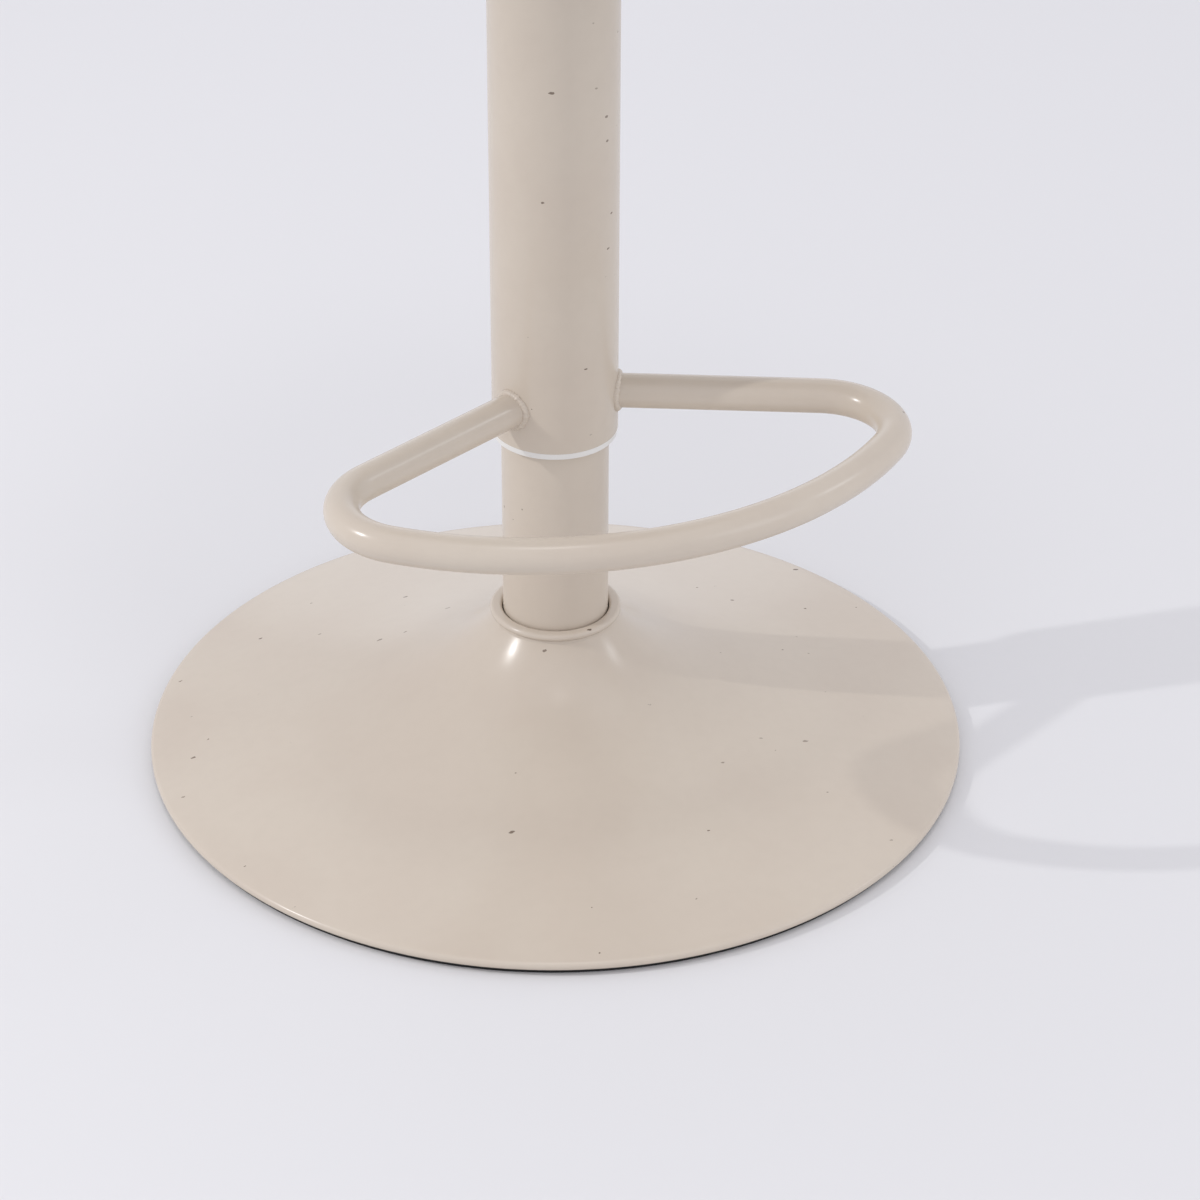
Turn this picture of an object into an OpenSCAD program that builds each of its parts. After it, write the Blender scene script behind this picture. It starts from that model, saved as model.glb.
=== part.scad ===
// Bar stool with a trumpet base, a gas-lift column, a welded foot ring and a round padded seat.
// Millimetres. The origin is at floor level on the column's axis, +Z is up, and the foot ring
// reaches out to the front, which is -Y. The seat is drawn at its lowest height.

/* [Base] */
// Diameter of the base over its rolled rim
base_d = 400; // [360:1:440]
// Thickness of the spun steel cover
sheet_t = 1.5; // [1:0.1:2]
// Inside radius of the bend at the rolled rim
rim_bend_r = 0.7; // [0.4:0.1:1.5]
// Width of the lip that turns in under the rim
rim_lip_w = 10; // [8:1:14]
// Rise of the cover's shallow cone for each millimetre towards the middle
cone_slope = 0.2; // [0.16:0.01:0.24]
// Distance over which the flare at the neck dies out into the cone
flare_len = 27.5; // [20:0.5:32]
// Height of the top edge of the cover's neck above the floor
neck_h = 71.8; // [66:0.2:80]
// Height of the straight part at the top of the neck
neck_wall_h = 1.5; // [1:0.5:4]
// Gap between the column and the inside of the cover's neck
neck_gap = 3.5; // [3:0.1:5]
// Width of the bead round the neck, from its inside to its outside
neck_bead_w = 6; // [5.6:0.1:6.6]
// Height of the bead round the neck
neck_bead_h = 3.6; // [3:0.1:4.2]
// Gap between the column and the inside of the bead
neck_bead_gap = 0.4; // [0.3:0.1:0.6]
// Depth of the skirt by which the bead sits in the neck
neck_skirt_h = 7; // [5:0.5:10]
// Thickness of that skirt
neck_skirt_t = 1.5; // [1:0.1:1.8]
// Height of the rubber seal between the bead's skirt and the column
seal_h = 5; // [3:0.5:7]
// Thickness of the rubber ring under the rim
floor_ring_t = 2.5; // [2:0.1:4]
// Width of the rubber ring where it meets the floor
floor_ring_w = 23; // [18:1:30]
// Distance that the rubber ring stands back from the rim
floor_ring_inset = 2.6; // [1.6:0.1:4]
// Thickness of the sheet that closes the base from below
closing_t = 1.5; // [1:0.1:1.8]
// Width of the closing sheet's edge held by the lip
closing_grip_w = 3; // [2:0.5:4]
// Thickness of the ballast disc
ballast_t = 6; // [4:0.5:8]
// Diameter of the hole below the column for reaching the rod's clip
foot_hole_d = 40; // [34:1:44]

/* [Column] */
// Outer diameter of the fixed column
column_d = 51; // [50:0.5:52]
// Wall of the fixed column
column_wall = 2; // [1.5:0.1:3]
// Height of the fixed column's top above the floor
column_top_z = 430; // [415:1:445]
// Diameter of the flange at the column's foot
flange_d = 110; // [104:1:120]
// Thickness of the flange
flange_t = 5; // [4:0.5:8]
// Leg length of the weld between column and flange
column_weld_w = 4; // [3:0.5:6]
// Diameter of the circle through the flange screws
screw_circle_d = 84; // [82:1:88]
// Diameter of the flange screws
screw_d = 8; // [6:0.5:8]
// Head diameter of the countersunk flange screws
screw_head_d = 15; // [13:0.5:16]
// Width across the flats of the weld nuts
weld_nut_af = 13; // [12:0.5:14]
// Height of the weld nuts
weld_nut_h = 6.5; // [5:0.5:8]
// Length of the screw's tip past its nut
screw_tip_h = 1; // [0.5:0.5:3]
// Height of the column's foot plug above the flange's underside
plug_rise = 3; // [2.5:0.5:6]
// Thickness of the foot plug
plug_t = 4; // [3:0.5:6]
// Length of the guide bush inside the column's top
guide_len = 70; // [50:1:90]
// Thickness of the guide bush's collar on the column's end
guide_collar_t = 4; // [3:0.5:6]
// Height of the ring that centres the sleeve on the column's top
glide_h = 12; // [8:1:16]
// Width of the split in that ring
glide_slot_w = 2; // [1:0.5:3]

/* [Sleeve and foot ring] */
// Outer diameter of the sleeve
sleeve_d = 59.5; // [59:0.5:64]
// Wall of the sleeve
sleeve_wall = 1.5; // [1.2:0.1:2]
// Height of the sleeve's lower end above the floor, with the seat at its lowest
sleeve_z = 173; // [160:1:182]
// Length of the sleeve
sleeve_len = 332; // [320:1:350]
// Height of the bush's band that shows below the sleeve
bush_band_h = 3; // [1.5:0.1:4]
// Length of the bush inside the sleeve
bush_len = 28; // [20:1:36]
// Distance that the band stands back from the sleeve's outside
bush_inset = 0.5; // [0.2:0.1:1]
// Outer diameter of the foot ring's tube
foot_tube_d = 16.3; // [14:0.1:19]
// Wall of the foot ring's tube
foot_tube_wall = 1.5; // [1:0.1:2]
// Height of the foot ring's centre line above the sleeve's lower end
foot_rise = 19.5; // [17:0.5:40]
// Angle of each leg of the foot ring from straight ahead
leg_angle = 64.7; // [60:0.1:68]
// Distance from the column's axis to the end of each straight leg
leg_len = 124; // [118:1:130]
// Radius of the two side bends along the tube's centre line
side_bend_r = 34; // [31:0.5:38]
// Radius of the front bar along the tube's centre line
front_r = 183; // [174:1:194]
// Leg length of the welds between foot ring and sleeve
foot_weld_w = 3.5; // [2.5:0.1:4.5]

/* [Lift] */
// Travel of the seat from lowest to highest
stroke = 200; // [160:1:205]
// Outer diameter of the gas spring's tube
tube_d = 28; // [27:0.5:30]
// Wall of the gas spring's tube
tube_wall = 1.5; // [1.2:0.1:2]
// Height of the tube's end above the seat plate's floor
tube_proud = 2; // [1:0.5:3]
// Loss of radius along the tube's tapered end
taper_r = 0.9; // [0.6:0.1:1.2]
// Diameter of the piston rod
rod_d = 10; // [9:0.5:12]
// Diameter of the rod's two turned ends
rod_end_d = 8; // [7:0.5:8.5]
// Length of the rod's tip past its clip
rod_tip_h = 3; // [2:0.5:4]
// Thickness of the rod's clip
clip_t = 1.2; // [1:0.1:1.5]
// Outer diameter of the rod's clip
clip_d = 17; // [15:0.5:18]
// Depth of the clip's groove in the rod
groove_depth = 0.9; // [0.6:0.1:1.2]
// Thickness of each race of the thrust bearing
race_t = 2.2; // [1.5:0.1:3]
// Outer diameter of the thrust bearing
bearing_d = 28; // [26:0.5:30]
// Diameter of the bearing's balls
ball_d = 4; // [3:0.5:4]
// Number of balls in the bearing
ball_count = 9; // [7:1:10]
// Thickness of the bearing's cage
cage_t = 1.6; // [1:0.1:2]
// Distance that the cage and the buffer stand back from the races' edges
race_margin = 1; // [0.5:0.1:1.5]
// Height of the rubber buffer above the bearing
buffer_h = 8; // [5:0.5:12]
// Length of the rod guide in the tube's lower end
rod_guide_len = 22; // [16:1:30]
// Depth of the turned-in lip at the tube's lower end
tube_lip_h = 1; // [0.8:0.1:2]
// Width of the turned-in lip
tube_lip_w = 3; // [2:0.5:4]
// Height of the piston
piston_h = 12; // [10:0.5:16]
// Height of the piston's seal
piston_seal_h = 4; // [3:0.5:5]
// Depth of the seal's groove in the piston
piston_seal_depth = 2; // [1.5:0.1:3]
// Width across the flats of the piston's nut
piston_nut_af = 13; // [12:0.5:14]
// Height of the piston's nut
piston_nut_h = 6; // [4:0.5:8]
// Length of the valve body in the tube's upper end
valve_len = 24; // [18:1:30]
// Diameter of the release pin
release_d = 7; // [6:0.5:8]
// Height of the release pin above the tube's end
release_proud = 8.6; // [8:0.1:9]
// Length of the release pin
release_len = 26; // [22:1:30]

/* [Seat plate] */
// Thickness of the pressed seat plate
plate_t = 2.5; // [2:0.1:3]
// Depth of the plate's pan from the seat board to its underside
pan_depth = 22; // [22:0.5:26]
// Corner radius of the pan
pan_corner_r = 14; // [8:1:20]
// Width of the plate over its rim
plate_w = 200; // [196:1:210]
// Width of the flat rim round the pan
plate_rim_w = 25; // [24:0.5:27]
// Corner radius of the plate's rim
plate_corner_r = 18; // [12:1:24]
// Width of the slot in the pan's side for the lever
lever_slot_w = 16; // [12:0.5:20]
// Outer diameter of the hub that takes the tube's taper
hub_d = 40; // [38:0.5:42]
// Length of the hub
hub_len = 32; // [26:1:38]
// Leg length of the welds on hub and sleeve
plate_weld_w = 3; // [2:0.1:3.5]
// Distance of the seat bolts from the plate's edges
seat_bolt_edge = 14; // [12:0.5:15]
// Diameter of the seat bolts
seat_bolt_d = 6; // [5:0.5:6.5]
// Width across the flats of the seat bolts' heads
seat_bolt_af = 10; // [9:0.5:11]
// Height of the seat bolts' heads
seat_bolt_head_h = 4; // [3:0.1:5]
// Diameter of the washers under the heads
washer_d = 14; // [12:0.5:16]
// Thickness of the washers
washer_t = 1.6; // [1:0.1:2]

/* [Lever] */
// Distance from the column's axis to the lever's pivot
pivot_x = 22; // [21:0.5:24]
// Height of the pivot above the pan's floor
pivot_rise = 6.5; // [6:0.1:7]
// Diameter of the pivot pin
pivot_d = 5; // [4:0.5:5]
// Diameter of the pivot pin's head
pivot_head_d = 9; // [8:0.5:10]
// Thickness of the pivot pin's head
pivot_head_t = 1.5; // [1:0.1:2.5]
// Diameter of the rocker's boss
boss_d = 11; // [10:0.5:11.5]
// Radius of the rocker's nose
nose_r = 3.2; // [2.5:0.1:3.5]
// Width of the rocker
rocker_w = 10; // [8:0.5:12]
// Depth of the rocker's arm between the pivot and the nose
rocker_arm_h = 3.6; // [3:0.1:4]
// Thickness of the bracket's ears
ear_t = 3; // [2:0.5:4]
// Width of the bracket's ears
ear_w = 14; // [12:0.5:16]
// Height of the bracket's ears
ear_h = 12.5; // [11:0.5:14]
// Diameter of the lever's rod
lever_d = 8; // [7:0.5:8]
// Height of the lever's rod above the pan's floor
lever_lift = 0.7; // [0.5:0.1:1]
// Distance from the pivot to the flat end where the rod is welded on
rocker_reach = 6; // [5.5:0.5:8]
// Distance from the pan's side to the lever's first bend
lever_bend_out = 7; // [4:0.5:11]
// Radius of the lever's bends along the rod's centre line
lever_bend_r = 15; // [10:1:18]
// Angle of the lever's bends
lever_bend_a = 35; // [30:1:45]
// Drop of the lever from the pan to the grip
lever_drop = 17; // [15:0.5:22]
// Distance from the column's axis to the grip's end
grip_end_x = 197; // [190:1:200]
// Length of the grip
grip_len = 68; // [60:1:74]
// Diameter of the grip at its thickest
grip_d = 14; // [12:0.5:15]
// Diameter of the grip at its neck
grip_neck_d = 11; // [10:0.5:12]
// Chamfer at the grip's neck
grip_chamfer = 1; // [0.5:0.1:1.2]
// Depth of the rod's seat in the grip
grip_seat_len = 48; // [40:1:54]

/* [Seat] */
// Diameter of the seat over its welts
seat_d = 380; // [360:1:396]
// Thickness of the plywood board
board_t = 12; // [10:0.5:18]
// Height of the cushion's side above the board
side_h = 57; // [40:1:70]
// Rise of the crown above the cushion's side
crown_h = 22; // [15:0.5:30]
// Power of the crown's curve, higher being flatter in the middle
crown_power = 2.6; // [2:0.1:4]
// Swell of the cushion's side between its seams
side_swell = 2; // [0:0.5:3]
// Thickness of the leatherette
cover_t = 1.2; // [0.8:0.1:1.5]
// Section diameter of the welts
welt_d = 6; // [5:0.5:8]
// Distance that the welts' centre line stands out from the side's seams
welt_out = 1; // [0.5:0.1:1.5]
// Width of the cover's edge turned under the board
tuck_w = 26; // [20:1:32]
// Thickness of the cloth that closes the seat's underside
dust_cloth_t = 0.8; // [0.5:0.1:1.2]
// Margin between the seat plate and the hole in the dust cloth
dust_margin = 2; // [1:0.5:5]
// Number of staples round the dust cloth
staple_count = 24; // [16:1:32]
// Length of each staple
staple_len = 10; // [8:1:12]
// Distance of the staples from the dust cloth's edge
staple_inset = 4; // [3:0.5:6]
// Thickness of the staples' wire
staple_t = 0.7; // [0.5:0.1:1]
// Outer diameter of the tee nuts' flanges
tee_flange_d = 19; // [17:0.5:20]
// Thickness of the tee nuts' flanges
tee_flange_t = 1.2; // [1:0.1:1.5]
// Outer diameter of the tee nuts' barrels
tee_barrel_d = 8; // [7.5:0.1:9]
// Length of the tee nuts' barrels
tee_barrel_len = 9; // [7:0.5:9]

/* [Fits] */
// Radial clearance of a running fit
run_fit = 0.05; // [0.02:0.01:0.09]
// Clearance of a fixed fit
fixed_fit = 0.1; // [0.05:0.01:0.2]
// Gap between pieces that move past each other
move_gap = 0.3; // [0.2:0.05:0.4]
// Clearance of a screw in its hole
screw_fit = 0.3; // [0.2:0.05:0.5]
// Radius that a bar or a tube loses where it is bent
bend_loss = 0.05; // [0.04:0.01:0.08]

/* [Hidden] */
$fn = 96;

coat = [0.80, 0.76, 0.71];
leatherette = [0.79, 0.74, 0.67];
black = [0.10, 0.10, 0.11];
steel = [0.66, 0.67, 0.69];
nylon = [0.90, 0.91, 0.90];
plywood = [0.78, 0.63, 0.43];
foam = [0.93, 0.88, 0.72];
rod_chrome = [0.80, 0.81, 0.83];

cut = 1; // How far a cut runs past the face it opens
flare_steps = 24; // Points along the cover's flare
crown_steps = 20; // Points along the cushion's crown
side_steps = 10; // Points along the cushion's side
arc_steps = 8; // Points along a small round edge

base_r = base_d / 2;
column_r = column_d / 2;
column_in_r = column_r - column_wall;
sleeve_r = sleeve_d / 2;
sleeve_in_r = sleeve_r - sleeve_wall;
tube_r = tube_d / 2;
tube_in_r = tube_r - tube_wall;
rod_r = rod_d / 2;
rod_end_r = rod_end_d / 2;

// Heights in the base, from the floor up
closing_z = floor_ring_t + sheet_t;
ballast_z = closing_z + closing_t;
column_z = ballast_z + ballast_t;
flange_top_z = column_z + flange_t;

// The rim's roll and the line of the cone that runs out of it
rim_r = rim_bend_r + sheet_t;
rim_c = [base_r - rim_r, floor_ring_t + rim_r];
cone_a = atan(cone_slope);
cone_start = rim_c + rim_r * [sin(cone_a), cos(cone_a)];
lip_in_r = rim_c.x - rim_lip_w;
neck_r = column_r + neck_gap + sheet_t;
flare_h = neck_h - neck_wall_h - cone_start.y - cone_slope * (cone_start.x - neck_r);
ballast_r = cone_start.x
    - (column_z + sheet_t / cos(cone_a) + move_gap - cone_start.y) / cone_slope;
bead_r = neck_bead_h / 2;
bead_in_r = column_r + neck_bead_gap;
bead_z = neck_h + fixed_fit + bead_r;
seal_r = neck_r - sheet_t - fixed_fit - neck_skirt_t;

// The lift, from the foot plug up
plug_z = column_z + plug_rise;
plug_top_z = plug_z + plug_t;
clip_z = plug_z - move_gap - clip_t;
rod_z = clip_z - rod_tip_h;
ball_c_z = plug_top_z + race_t + run_fit + ball_d / 2;
upper_race_z = ball_c_z + ball_d / 2;
shoulder_z = upper_race_z + race_t;
tube_z = shoulder_z + buffer_h + move_gap;
piston_z = tube_z + tube_lip_h + rod_guide_len + stroke + move_gap;
race_bore_r = rod_end_r + screw_fit;
ball_pitch_r = (race_bore_r + bearing_d / 2) / 2;

// Heights at the top, from the sleeve's end up
plate_z = sleeve_z + sleeve_len;
pan_floor_z = plate_z + plate_t;
board_z = plate_z + pan_depth;
board_top_z = board_z + board_t;
rim_under_z = board_z - plate_t;
pan_w = plate_w - 2 * plate_rim_w;
seat_bolt_spacing = plate_w - 2 * seat_bolt_edge;
hub_z = pan_floor_z - hub_len;
tube_top_z = pan_floor_z + tube_proud;
taper_z = hub_z - move_gap;
release_top_z = tube_top_z + release_proud;
valve_r = tube_in_r - taper_r - fixed_fit;

// The foot ring's plan, with x to the side and y to the front taken as negative
foot_z = sleeve_z + foot_rise;
foot_tube_r = foot_tube_d / 2;
leg_heading = leg_angle - 90;
leg_end = leg_len * [cos(leg_heading), sin(leg_heading)];
side_c = leg_end + side_bend_r * [sin(leg_heading), -cos(leg_heading)];
front_c_y = side_c.y + sqrt(pow(front_r - side_bend_r, 2) - pow(side_c.x, 2));
front_a = atan2(side_c.y - front_c_y, side_c.x);
side_sweep = leg_heading + 90 - front_a;

// The lever, in the plane of x and z
pivot_z = pan_floor_z + pivot_rise;
boss_r = boss_d / 2;
nose_z = release_top_z + move_gap + nose_r;
lever_r = lever_d / 2;
lever_z = pan_floor_z + lever_r + lever_lift;
rocker_end_x = pivot_x + rocker_reach;
lever_bend_x = pan_w / 2 + lever_bend_out;
grip_z = lever_z - lever_drop;
slope_len = (lever_drop - 2 * lever_bend_r * (1 - cos(lever_bend_a))) / sin(lever_bend_a);
grip_bend_x = lever_bend_x + 2 * lever_bend_r * sin(lever_bend_a)
    + slope_len * cos(lever_bend_a);
grip_start_x = grip_end_x - grip_len;

// The cushion
welt_r = welt_d / 2;
welt_c_r = seat_d / 2 - welt_r;
band_r = welt_c_r - welt_out;
seam_z = board_top_z + side_h;
board_r = band_r - cover_t - fixed_fit;
tuck_z = board_z - cover_t;
tuck_in_r = board_r - tuck_w;
dust_hole_w = plate_w + 2 * dust_margin;
screw_length = flange_top_z + weld_nut_h + screw_tip_h - closing_z;
screw_head_h = (screw_head_d - screw_d) / 2;

module ring(r_in, r_out, h) {
    difference() {
        cylinder(r = r_out, h = h);
        translate([0, 0, -cut]) cylinder(r = r_in, h = h + 2 * cut);
    }
}

module hex_prism(af, h) {
    cylinder(d = af / cos(30), h = h, $fn = 6);
}

module hex_nut(af, h, bore_r) {
    difference() {
        hex_prism(af, h);
        translate([0, 0, -cut]) cylinder(r = bore_r, h = h + 2 * cut);
    }
}

module on_screw_circle() {
    for (i = [0:3]) rotate([0, 0, 45 + 90 * i]) translate([screw_circle_d / 2, 0, 0]) children();
}

module on_bolt_square() {
    for (x = [-1, 1], y = [-1, 1])
        translate([x * seat_bolt_spacing / 2, y * seat_bolt_spacing / 2, 0]) children();
}

module rounded_slab(w, corner_r, h) {
    linear_extrude(h) {
        square([w, w - 2 * corner_r], center = true);
        square([w - 2 * corner_r, w], center = true);
        for (x = [-1, 1], y = [-1, 1])
            translate([x, y] * (w / 2 - corner_r)) circle(r = corner_r);
    }
}

// A weld bead of triangular section, standing on the plane z = 0 round a shaft
module fillet_bead(r_in, leg) {
    rotate_extrude() polygon([[r_in, 0], [r_in + leg, 0], [r_in, leg]]);
}

// The cover's outer line and its slope
function flare_z(r) = cone_start.y + cone_slope * (cone_start.x - r)
    + flare_h * exp(-(r - neck_r) / flare_len);
function flare_slope(r) = cone_slope + flare_h / flare_len * exp(-(r - neck_r) / flare_len);
// Radii that lie closer together towards the neck
function flare_r(i) = neck_r + (cone_start.x - neck_r) * pow(i / flare_steps, 2);
function inward(r) = sheet_t * [flare_slope(r), 1] / sqrt(1 + pow(flare_slope(r), 2));

module base_cover() {
    rim_end_a = 90 - cone_a;
    outside = concat(
        [[lip_in_r, floor_ring_t]],
        [for (i = [0:arc_steps]) let (a = -90 + (rim_end_a + 90) * i / arc_steps)
            rim_c + rim_r * [cos(a), sin(a)]],
        [for (i = [flare_steps - 1:-1:0]) [flare_r(i), flare_z(flare_r(i))]],
        [[neck_r, neck_h]]
    );
    inside = concat(
        [[neck_r - sheet_t, neck_h]],
        [for (i = [0:flare_steps - 1]) [flare_r(i), flare_z(flare_r(i))] - inward(flare_r(i))],
        [for (i = [arc_steps:-1:0]) let (a = -90 + (rim_end_a + 90) * i / arc_steps)
            rim_c + rim_bend_r * [cos(a), sin(a)]],
        [[lip_in_r, closing_z]]
    );
    color(coat) rotate_extrude() polygon(concat(outside, inside));
}

module floor_ring() {
    out_r = base_r - floor_ring_inset;
    step_r = lip_in_r - fixed_fit;
    color(black) rotate_extrude() polygon([
        [out_r - floor_ring_w, 0], [out_r, 0], [out_r, floor_ring_t], [step_r, floor_ring_t],
        [step_r, closing_z], [out_r - floor_ring_w, closing_z]
    ]);
}

module screw_cut() {
    translate([0, 0, closing_z - cut])
        cylinder(r = screw_head_d / 2 + screw_fit, h = cut);
    translate([0, 0, closing_z])
        cylinder(r1 = screw_head_d / 2 + screw_fit, r2 = screw_d / 2 + screw_fit, h = screw_head_h);
    translate([0, 0, closing_z])
        cylinder(r = screw_d / 2 + screw_fit, h = screw_length);
}

module closing_sheet() {
    color(black) difference() {
        translate([0, 0, closing_z]) ring(foot_hole_d / 2, lip_in_r + closing_grip_w, closing_t);
        on_screw_circle() screw_cut();
    }
}

module ballast_disc() {
    color(black) difference() {
        translate([0, 0, ballast_z]) ring(foot_hole_d / 2, ballast_r, ballast_t);
        on_screw_circle() screw_cut();
    }
}

module neck_bead() {
    round_w = neck_bead_w - 2 * bead_r;
    color(coat) rotate_extrude() {
        for (x = [0, round_w]) translate([bead_in_r + bead_r + x, bead_z]) circle(r = bead_r);
        translate([bead_in_r + bead_r, bead_z - bead_r]) square([round_w, neck_bead_h]);
        translate([seal_r, neck_h - neck_skirt_h])
            square([neck_skirt_t, bead_z - neck_h + neck_skirt_h]);
    }
}

module column_seal() {
    color(black) translate([0, 0, neck_h - seal_h])
        ring(column_r + fixed_fit, seal_r - fixed_fit, seal_h);
}

module fixed_column() {
    color(coat) translate([0, 0, column_z]) ring(column_in_r, column_r, column_top_z - column_z);
}

module column_flange() {
    color(black) difference() {
        translate([0, 0, column_z]) ring(column_r + fixed_fit, flange_d / 2, flange_t);
        on_screw_circle() screw_cut();
    }
}

module column_weld() {
    color(steel) translate([0, 0, flange_top_z]) fillet_bead(column_r + fixed_fit, column_weld_w);
}

module flange_screws() {
    color(steel) on_screw_circle() translate([0, 0, closing_z]) {
        cylinder(d1 = screw_head_d, d2 = screw_d, h = screw_head_h);
        cylinder(d = screw_d, h = screw_length);
    }
}

module weld_nuts() {
    color(steel) on_screw_circle() translate([0, 0, flange_top_z])
        hex_nut(weld_nut_af, weld_nut_h, screw_d / 2 + fixed_fit);
}

module foot_plug() {
    color(steel) translate([0, 0, plug_z])
        ring(rod_end_r + run_fit, column_in_r - fixed_fit, plug_t);
}

module lower_race() {
    color(steel) translate([0, 0, plug_top_z]) ring(race_bore_r, bearing_d / 2, race_t);
}

module guide_bush() {
    color(black) translate([0, 0, column_top_z - guide_len]) {
        ring(tube_r + run_fit, column_in_r - fixed_fit, guide_len);
        translate([0, 0, guide_len])
            ring(tube_r + run_fit, sleeve_in_r - move_gap, guide_collar_t);
    }
}

// A split band round the column's top, held in place by the bush's collar above it
module glide_ring() {
    color(nylon) difference() {
        translate([0, 0, column_top_z - glide_h])
            ring(column_r + fixed_fit, sleeve_in_r - run_fit, glide_h);
        translate([0, -glide_slot_w / 2, column_top_z - glide_h - cut])
            cube([sleeve_r, glide_slot_w, glide_h + 2 * cut]);
    }
}

module piston_rod() {
    color(rod_chrome) difference() {
        union() {
            translate([0, 0, rod_z]) cylinder(r = rod_end_r, h = shoulder_z - rod_z);
            translate([0, 0, shoulder_z]) cylinder(r = rod_r, h = piston_z - shoulder_z);
            translate([0, 0, piston_z])
                cylinder(r = rod_end_r, h = piston_h + piston_nut_h + screw_tip_h);
        }
        translate([0, 0, clip_z - fixed_fit])
            ring(rod_end_r - groove_depth, rod_end_r + cut, clip_t + 2 * fixed_fit);
    }
}

module piston() {
    color(steel) translate([0, 0, piston_z]) difference() {
        ring(rod_end_r + fixed_fit, tube_in_r - run_fit, piston_h);
        translate([0, 0, (piston_h - piston_seal_h) / 2])
            ring(tube_in_r - piston_seal_depth, tube_r, piston_seal_h);
    }
}

module piston_seal() {
    color(black) translate([0, 0, piston_z + (piston_h - piston_seal_h) / 2 + fixed_fit])
        ring(tube_in_r - piston_seal_depth + fixed_fit, tube_in_r - run_fit / 2,
            piston_seal_h - 2 * fixed_fit);
}

module piston_nut() {
    color(steel) translate([0, 0, piston_z + piston_h])
        hex_nut(piston_nut_af, piston_nut_h, rod_end_r + fixed_fit);
}

module on_ball_circle() {
    for (i = [0:ball_count - 1]) rotate([0, 0, 360 * i / ball_count])
        translate([ball_pitch_r, 0, 0]) children();
}

module bearing_cage() {
    color("goldenrod") translate([0, 0, ball_c_z - cage_t / 2]) difference() {
        ring(race_bore_r + race_margin, bearing_d / 2 - race_margin, cage_t);
        translate([0, 0, -cut]) on_ball_circle()
            cylinder(r = ball_d / 2 + fixed_fit, h = cage_t + 2 * cut);
    }
}

module bearing_balls() {
    color(steel) translate([0, 0, ball_c_z]) on_ball_circle() sphere(d = ball_d);
}

module upper_race() {
    color(steel) translate([0, 0, upper_race_z]) ring(race_bore_r, bearing_d / 2, race_t);
}

module rod_buffer() {
    color(black) translate([0, 0, shoulder_z])
        ring(rod_r + fixed_fit, bearing_d / 2 - race_margin, buffer_h);
}

module rod_clip() {
    mouth = 2 * (rod_end_r - groove_depth);
    color(steel) translate([0, 0, clip_z]) difference() {
        ring(rod_end_r - groove_depth + fixed_fit, clip_d / 2, clip_t);
        translate([0, -mouth / 2, -cut]) cube([clip_d, mouth, clip_t + 2 * cut]);
    }
}

module gas_tube() {
    color(black) rotate_extrude() polygon([
        [tube_in_r - tube_lip_w, tube_z], [tube_r, tube_z], [tube_r, taper_z],
        [tube_r - taper_r, tube_top_z], [tube_in_r - taper_r, tube_top_z],
        [tube_in_r - taper_r, taper_z], [tube_in_r, taper_z - tube_wall],
        [tube_in_r, tube_z + tube_lip_h], [tube_in_r - tube_lip_w, tube_z + tube_lip_h]
    ]);
}

module rod_guide() {
    color(steel) translate([0, 0, tube_z + tube_lip_h])
        ring(rod_r + run_fit, tube_in_r - fixed_fit, rod_guide_len);
}

module valve_body() {
    color("goldenrod") translate([0, 0, tube_top_z - valve_len])
        ring(release_d / 2 + run_fit, valve_r, valve_len);
}

module sleeve() {
    color(coat) translate([0, 0, sleeve_z]) ring(sleeve_in_r, sleeve_r, sleeve_len);
}

module sleeve_bush() {
    color(nylon) translate([0, 0, sleeve_z]) {
        ring(column_r + run_fit, sleeve_in_r - fixed_fit, bush_len);
        translate([0, 0, -bush_band_h])
            ring(column_r + run_fit, sleeve_r - bush_inset, bush_band_h);
    }
}

module on_both_legs() {
    for (side = [0, 1]) mirror([side, 0, 0]) children();
}

// A round bar's bend to the left, from the origin along +X
module bend(r, bend_r, angle) {
    reach = 2 * bend_r;
    difference() {
        // Half a turn keeps the ring's seam in the half that is cut away
        rotate([0, 0, 180]) rotate_extrude() translate([bend_r, 0]) circle(r = r);
        translate([-reach, -reach, -reach]) cube([reach, 2 * reach, 2 * reach]);
        rotate([0, 0, angle]) translate([0, -reach, -reach]) cube([reach, 2 * reach, 2 * reach]);
    }
}

// A round bar along +X, run after run: a straight length, then a bend's radius and its angle
// to the left, or to the right where the angle is negative
module bent_bar(r, runs, i = 0, flip = 1) {
    length = runs[i][0];
    bend_r = runs[i][1];
    turn = flip * runs[i][2];
    // Bends that follow each other are stepped down in turn, so that no two ends are alike
    bent_r = r - bend_loss * (i % 2 == 0 ? 1 : 2);
    if (length > 0) rotate([0, 90, 0]) cylinder(r = r, h = length);
    if (turn != 0)
        translate([length, 0, 0]) mirror([0, turn < 0 ? 1 : 0, 0]) translate([0, bend_r, 0]) {
            bend(bent_r, bend_r, abs(turn));
            if (i + 1 < len(runs))
                rotate([0, 0, abs(turn)]) translate([0, -bend_r, 0])
                    bent_bar(r, runs, i + 1, turn < 0 ? -flip : flip);
        }
}

module foot_ring_run(r) {
    rotate([0, 0, leg_heading]) bent_bar(r, [
        [leg_len, side_bend_r, -side_sweep], [0, front_r, -2 * (90 + front_a)],
        [0, side_bend_r, -side_sweep], [leg_len, 0, 0]
    ]);
}

module foot_ring() {
    color(coat) translate([0, 0, foot_z]) difference() {
        foot_ring_run(foot_tube_r);
        foot_ring_run(foot_tube_r - foot_tube_wall);
        cylinder(r = sleeve_r + fixed_fit, h = 2 * foot_tube_d, center = true);
    }
}

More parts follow.
